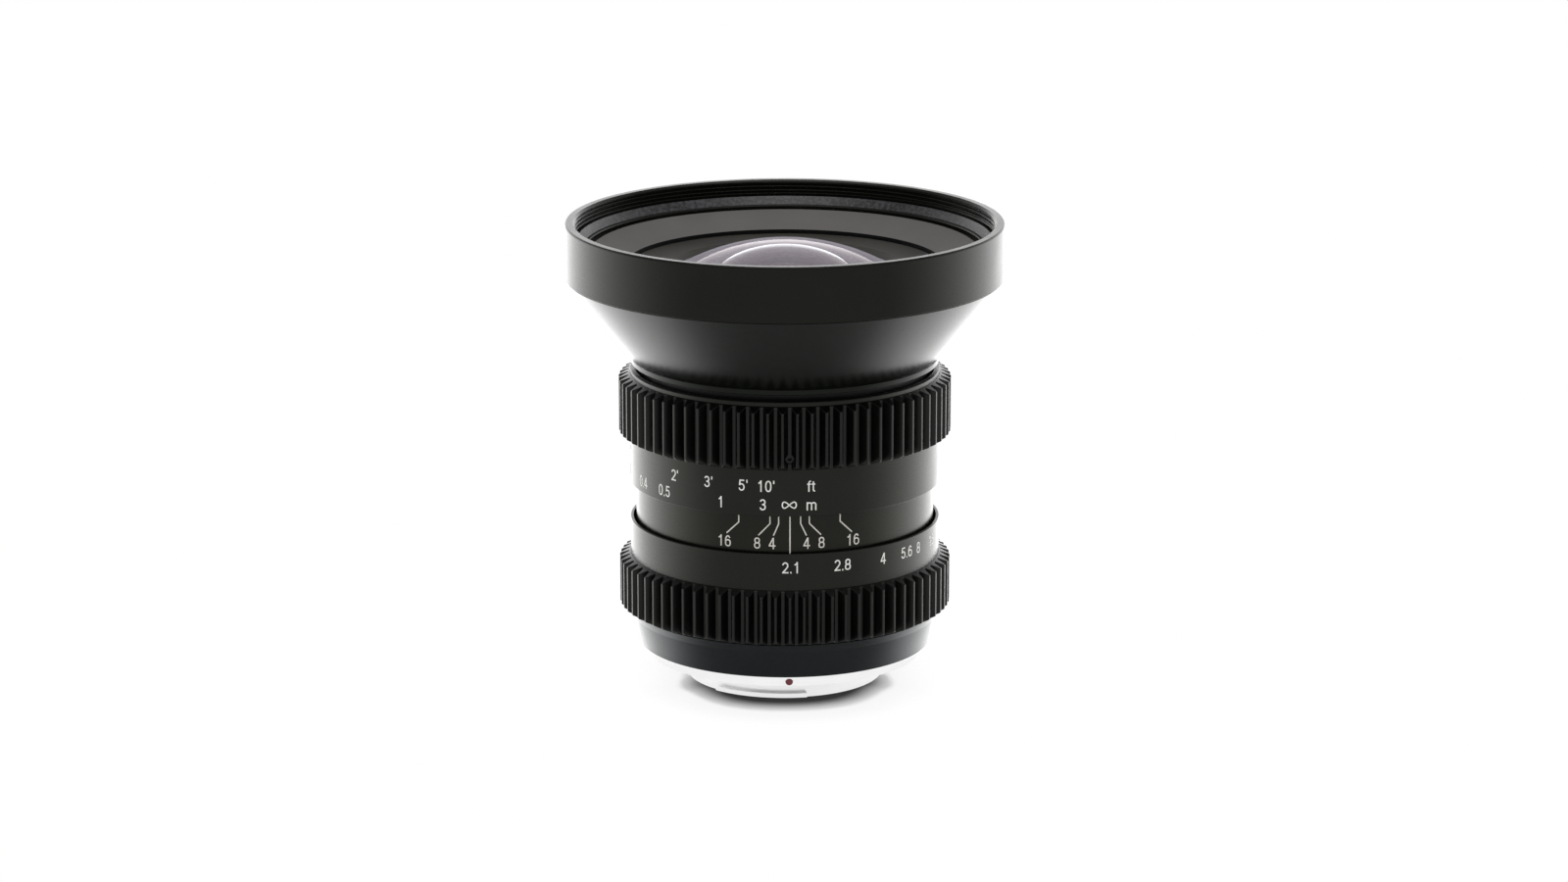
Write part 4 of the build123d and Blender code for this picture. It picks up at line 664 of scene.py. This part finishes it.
white_paint = painted("white_paint", (0.80, 0.79, 0.76), (0.68, 0.67, 0.64), 0.5)
grey_paint = painted("grey_paint", (0.64, 0.62, 0.56), (0.54, 0.52, 0.47), 0.5)

for node, thing in frame["nodes"].items():
    thing.data.materials.clear()
    thing.data.materials.append(finish_of_slot[slot_of_node[node]])


# Pieces of the lens

SCALE_RADIUS = 28.35
INDEX_RADIUS = 27.30
GEAR_SCREW_TURNS = (0.0, 120.0, 240.0)
GEAR_SCREW_HEIGHT, GEAR_SCREW_HOLE = 47.55, 0.87
DRIVE_SCREW_TURN, DRIVE_SCREW_HEIGHT = 211.622, 19.6
DRIVE_SCREW_HOLE, DRIVE_HEAD_HOLE = 0.82, 1.12


def add_piece(name, mesh, body, slot, *stands_for, finishes=None):
    """Gives a mesh its finishes and places it in the scene, on the body that carries it."""
    for finish in finishes or [finish_of_slot[slot]]:
        mesh.materials.append(finish)
    piece = bpy.data.objects.new(name, mesh)
    bpy.context.scene.collection.objects.link(piece)
    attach(piece, body)
    if stands_for:
        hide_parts(*stands_for)
    return piece


hood = add_piece("hood_ring", front_hood_mesh("hood_ring"), "carriage", "hood_black", "front_hood",
                 finishes=[finish_of_slot["hood_black"], throat_finish])
# The stippled throat is the wall between the bore and the filter thread
throat_foot, throat_top, throat_radius = 80.50 * MM, 81.92 * MM, 37.62 * MM
height = np.array([face.center.z for face in hood.data.polygons])
reach = np.array([math.hypot(face.center.x, face.center.y) for face in hood.data.polygons])
throat = (height > throat_foot) & (height < throat_top) & (reach < throat_radius)
hood.data.polygons.foreach_set("material_index", throat.astype(int))

cone_corners = [(20.02, 59.05, 0.05), (28.10, 59.05, 0.20), (28.10, 59.99, 0.10),
                (40.00, 74.85, 0.12), (30.00, 74.85, 0.05), (30.00, 73.25, 0.05),
                (36.60, 73.25, 0.05), (26.30, 60.85, 0.05), (20.02, 60.85, 0.05)]
add_piece("cone", turned_mesh("cone", cone_corners), "carriage", "cone_black", "cone_barrel")

band_corners = [(28.72, 75.60, 0.03), (35.88, 75.60, 0.05), (35.88, 79.30, 0.06),
                (35.10, 79.30, 0.06), (35.10, 79.90, 0.10), (28.72, 77.30, 0.05)]
band = add_piece("name_band", turned_mesh("name_band", band_corners),
                 "carriage", "name_ring_black", "name_ring",
                 finishes=[finish_of_slot["name_ring_black"], finish_of_slot["inner_black"]])
# Only the face that looks up is grey, a painted highlight of the light from above; the walls and the
# underside keep the ring's black
upward = np.array([face.normal.z for face in band.data.polygons])
band.data.polygons.foreach_set("material_index", (upward < 0.5).astype(int))

glass_ring_corners = [(20.10, 75.76, 0.03), (28.60, 75.76, 0.05), (28.60, 76.56, 0.10), (21.30, 76.76, 0.12)]
add_piece("glass_ring", turned_mesh("glass_ring", glass_ring_corners),
          "carriage", "olive_ring", "front_retaining_ring")

add_piece("front_lens", front_glass_mesh("front_lens"), "carriage", "coated_glass", "front_glass")

rear_corners = [(19.20, 6.45, 0.05), (26.75, 6.45, 0.10), (27.95, 11.50, 0.25), (28.50, 12.95, 0.08),
                (26.82, 12.95, 0.05), (26.82, 9.15, 0.05), (19.20, 9.15, 0.05)]
add_piece("rear_band", turned_mesh("rear_band", rear_corners), "root_barrel", "rear_black", "rear_barrel")

focus_scale_corners = [(27.35, 36.90, 0.05), (SCALE_RADIUS, 36.90, 0.12),
                       (SCALE_RADIUS, 57.85, 0.14), (27.35, 57.85, 0.10)]
scale = turned_mesh("focus_scale", focus_scale_corners, columns=360, steps=4)
for turn in GEAR_SCREW_TURNS:
    scale = drill(scale, turn, GEAR_SCREW_HEIGHT, GEAR_SCREW_HOLE, deepest=26.5, past=31.0)
add_piece("focus_scale", lathe_normals(scale), "focus_ring", "scale_black", "focus_scale_ring")

gear = gear_mesh("focus_gear", teeth=72, first_tooth=2.5, low=45.45, high=57.10)
for turn in GEAR_SCREW_TURNS:
    gear = drill(gear, turn, GEAR_SCREW_HEIGHT, GEAR_SCREW_HOLE, deepest=27.5, past=31.5)
add_piece("focus_gear", gear, "focus_ring", "gear_black", "focus_gear_ring")

iris_scale_corners = [(26.85, 13.00, 0.05), (SCALE_RADIUS, 13.00, 0.10), (SCALE_RADIUS, 29.95, 0.12),
                      (27.80, 29.95, 0.10), (27.80, 23.80, 0.05), (26.85, 23.80, 0.05)]
scale = turned_mesh("iris_scale", iris_scale_corners, columns=360, steps=4)
scale = drill(scale, DRIVE_SCREW_TURN, DRIVE_SCREW_HEIGHT, DRIVE_SCREW_HOLE, deepest=26.0, past=28.0)
scale = drill(scale, DRIVE_SCREW_TURN, DRIVE_SCREW_HEIGHT, DRIVE_HEAD_HOLE, deepest=27.60, past=31.0)
add_piece("iris_scale", lathe_normals(scale), "iris_ring", "scale_black", "iris_scale_ring")

gear = gear_mesh("iris_gear", teeth=74, first_tooth=0.0, low=13.00, high=23.20)
gear = drill(gear, DRIVE_SCREW_TURN, DRIVE_SCREW_HEIGHT, DRIVE_HEAD_HOLE, deepest=27.5, past=31.5)
add_piece("iris_gear", gear, "iris_ring", "gear_black", "iris_gear_ring")

feet_height, metre_height = 42.47, 39.06
feet = [(-87.5, "1'"), (-45.98, "2'"), (-30.61, "3'"), (-16.97, "5'"), (-8.43, "10'"), (7.82, "ft")]
metres = [(-134.0, "0.2"), (-88.5, "0.3"), (-66.5, "0.4"), (-51.8, "0.5"), (-25.78, "1"), (-9.72, "3"),
          (7.94, "m")]
focus_marks = [(azimuth, feet_height, word(signs)) for azimuth, signs in feet]
focus_marks += [(azimuth, metre_height, word(signs)) for azimuth, signs in metres]
focus_marks += [(-0.13, metre_height, infinity_sign())]
add_piece("focus_numbers", marks_mesh("focus_numbers", SCALE_RADIUS, focus_marks),
          "focus_ring", None, finishes=[white_paint])

stop_height = 27.45
stops = [(0.13, "2.1"), (19.73, "2.8"), (36.98, "4"), (49.4, "5.6"), (57.0, "8"), (68.9, "16")]
iris_marks = [(azimuth, stop_height, word(signs)) for azimuth, signs in stops]
add_piece("iris_numbers", marks_mesh("iris_numbers", SCALE_RADIUS, iris_marks),
          "iris_ring", None, finishes=[white_paint])

LINE_TOP, LINE_KNEE, LINE_FOOT = 36.75, 35.33, 33.1
DEPTH_LINE, INDEX_LINE = 0.215, 0.225


def depth_line(azimuth, foot):
    """A line down from the focus ring's edge, then slanting out to its number."""
    reach = math.radians(foot - azimuth) * INDEX_RADIUS
    fall = np.concatenate([np.linspace(0, 0, 3), np.linspace(0, reach, 9)[1:]])
    drop = np.concatenate([np.linspace(LINE_TOP, LINE_KNEE, 3), np.linspace(LINE_KNEE, LINE_FOOT, 9)[1:]])
    return azimuth, 0.0, stroke(np.stack([fall, drop], axis=1), DEPTH_LINE)


depth_height, index_turn, index_foot = 31.65, 0.2, 29.8
depths = [(-25.0, "16"), (-12.2, "8"), (-6.5, "4"), (6.5, "4"), (12.2, "8"), (25.0, "16")]
depth_lines = [(-19.3, -24.2), (-7.3, -11.7), (-4.05, -6.0), (4.2, 6.4), (7.5, 12.0), (19.5, 24.4)]
index_path = np.stack([np.zeros(5), np.linspace(LINE_TOP, index_foot, 5)], axis=1)
depth_marks = [(azimuth, depth_height, word(signs)) for azimuth, signs in depths]
depth_marks += [depth_line(azimuth, foot) for azimuth, foot in depth_lines]
depth_marks += [(index_turn, 0.0, stroke(index_path, INDEX_LINE))]
add_piece("depth_scale", marks_mesh("depth_scale", INDEX_RADIUS, depth_marks),
          "root_barrel", None, finishes=[grey_paint])


# Camera, floor and light


def place_camera():
    """The view of the photograph: a long lens that looks down a little, from just left of the index."""
    turn, look_down = math.radians(-1.75), math.radians(14.312)
    away, up = 0.8719, 0.26607
    data = bpy.data.cameras.new("view")
    data.lens, data.sensor_width, data.shift_x = 112.5, 36.0, -0.0005
    data.clip_start, data.clip_end = 0.05, 60.0
    camera = bpy.data.objects.new("view", data)
    camera.location = (away * math.sin(turn), -away * math.cos(turn), up)
    camera.rotation_euler = (math.radians(90) - look_down, 0.0, turn)
    bpy.context.scene.collection.objects.link(camera)
    bpy.context.scene.camera = camera


def seen_directly(f):
    """1 for rays from the camera and through glass."""
    camera = f.add("ShaderNodeLightPath", output="Is Camera Ray")
    through = f.add("ShaderNodeLightPath", output="Is Transmission Ray")
    return camera.at_least(through)


def pale_floor():
    """White paper: it takes the shadow close to the lens, and further out it is lit up to white. Round the
    lens's foot its colour is darkened as well, a painted shadow.

    Distances are in metres. reach is the distance from the axis, made larger beside and behind the lens,
    where the shadow and the painted shadow are shorter. Reflections show the paper glowing white under the
    flange, a painted reflection over the shade there, then in shadow just in front of the lens, and beyond
    that the surroundings take over.
    """
    f = new_finish("paper")
    place = f.place()
    fibre = f.noise(place, 900.0, 3.0)
    x, y, z = f.parts(place)
    away = (x * x + y * y) ** 0.5
    ahead = (0 - y) / away
    reach = away + (1.0 - f.spread(ahead, 0.60, 1.0)) * 0.0034 + (1.0 - f.spread(ahead, 0.10, 0.60)) * 0.004
    # Painted shadow: the paper's colour falls to a dark grey of 0.06 round the lens's foot, reaching furthest
    # in front.
    foot = f.spread(reach, 0.0203, 0.0262)
    paper_with_painted_shadow = f.blend(foot, (0.06, 0.06, 0.06), f.blend(fibre, (0.90, 0.90, 0.90), (0.93, 0.93, 0.93)))
    paper = f.add("ShaderNodeBsdfPrincipled", None, {
        "Base Color": paper_with_painted_shadow, "Roughness": 0.9, "Specular IOR Level": 0.0})
    white = f.add("ShaderNodeEmission", None, {"Color": (1.0, 1.0, 1.0), "Strength": 1.0})
    clear = f.add("ShaderNodeBsdfTransparent")
    mirror = f.add("ShaderNodeLightPath", output="Is Glossy Ray")
    white_share = f.spread(reach, 0.0250, 0.0272) * 0.8 + f.spread(reach, 0.0265, 0.036) * 0.2
    # For reflections the paper glows white within 29.5 mm of the axis, a painted reflection over the shade
    # under the flange.
    white_lift_and_painted_reflection = seen_directly(f) * white_share + mirror * (1.0 - f.spread(away, 0.0295, 0.0325)) * 0.94
    lit = f.add("ShaderNodeMixShader", None, {0: white_lift_and_painted_reflection, 1: paper, 2: white})
    beside = f.spread(y, -0.030, -0.010) * f.spread(away, 0.0295, 0.0325)
    open_share = mirror * beside.at_least(f.spread(away, 0.05, 0.10))
    both = f.add("ShaderNodeMixShader", None, {0: open_share, 1: lit, 2: clear})
    f.add("ShaderNodeOutputMaterial", None, {"Surface": both})
    half, level = 8.0, -2e-5
    corners = [(-half, -half, level), (half, -half, level), (half, half, level), (-half, half, level)]
    mesh = bpy.data.meshes.new("floor")
    mesh.from_pydata(corners, [], [(0, 1, 2, 3)])
    mesh.materials.append(f.owner)
    floor = bpy.data.objects.new("floor", mesh)
    bpy.context.scene.collection.objects.link(floor)


def studio_light():
    """White surroundings of strength 1. In reflections they are darker in front and brighter behind.

    The ground's brightness goes by y and falls off straight down. The wall behind is brightest near the
    ground, the sides are a little brighter than the front, and a bright canopy hangs overhead.
    """
    world = bpy.data.worlds.new("studio")
    bpy.context.scene.world = world
    f = Finish(world)
    x, y, z = f.parts(f.add("ShaderNodeTexCoord", output="Generated"))
    ground = 4.0 * f.ramp(y * 0.5 + 0.5, (0.0, 0.225), (0.20, 0.21), (0.30, 0.27), (0.40, 0.40), (0.50, 0.55),
                          (0.60, 0.67), (0.70, 0.77), (0.82, 0.86), (0.95, 0.92))
    straight_down = f.spread(0 - z, 0.75, 0.97)
    behind = f.spread(y, -0.10, 0.55) * f.ramp(z, (0.0, 0.80), (0.19, 0.76), (0.27, 0.40), (0.36, 0.24),
                                               (0.52, 0.12), (0.75, 0.05))
    side = f.spread(x * x, 0.15, 0.75)
    canopy = f.spread(z, 0.58, 0.84) * (1.0 - f.spread(x * x, 0.05, 0.36)) * (1.0 - f.spread(y, 0.05, 0.42))
    walls = 0.20 + behind * 3.4 + side * 0.4 + canopy * 2.0
    below = f.spread(0 - z, -0.01, 0.06)
    panels = below * ground * (1.0 - straight_down * 0.6) + (1.0 - below) * walls
    mirror = f.add("ShaderNodeLightPath", output="Is Glossy Ray")
    level = 1.0 + mirror * (panels - 1.0)
    around = f.add("ShaderNodeBackground", None, {"Color": (1.0, 1.0, 1.0), "Strength": level})
    f.add("ShaderNodeOutputWorld", None, {"Surface": around})


place_camera()
pale_floor()
studio_light()
bpy.context.scene.view_settings.view_transform = "Standard"
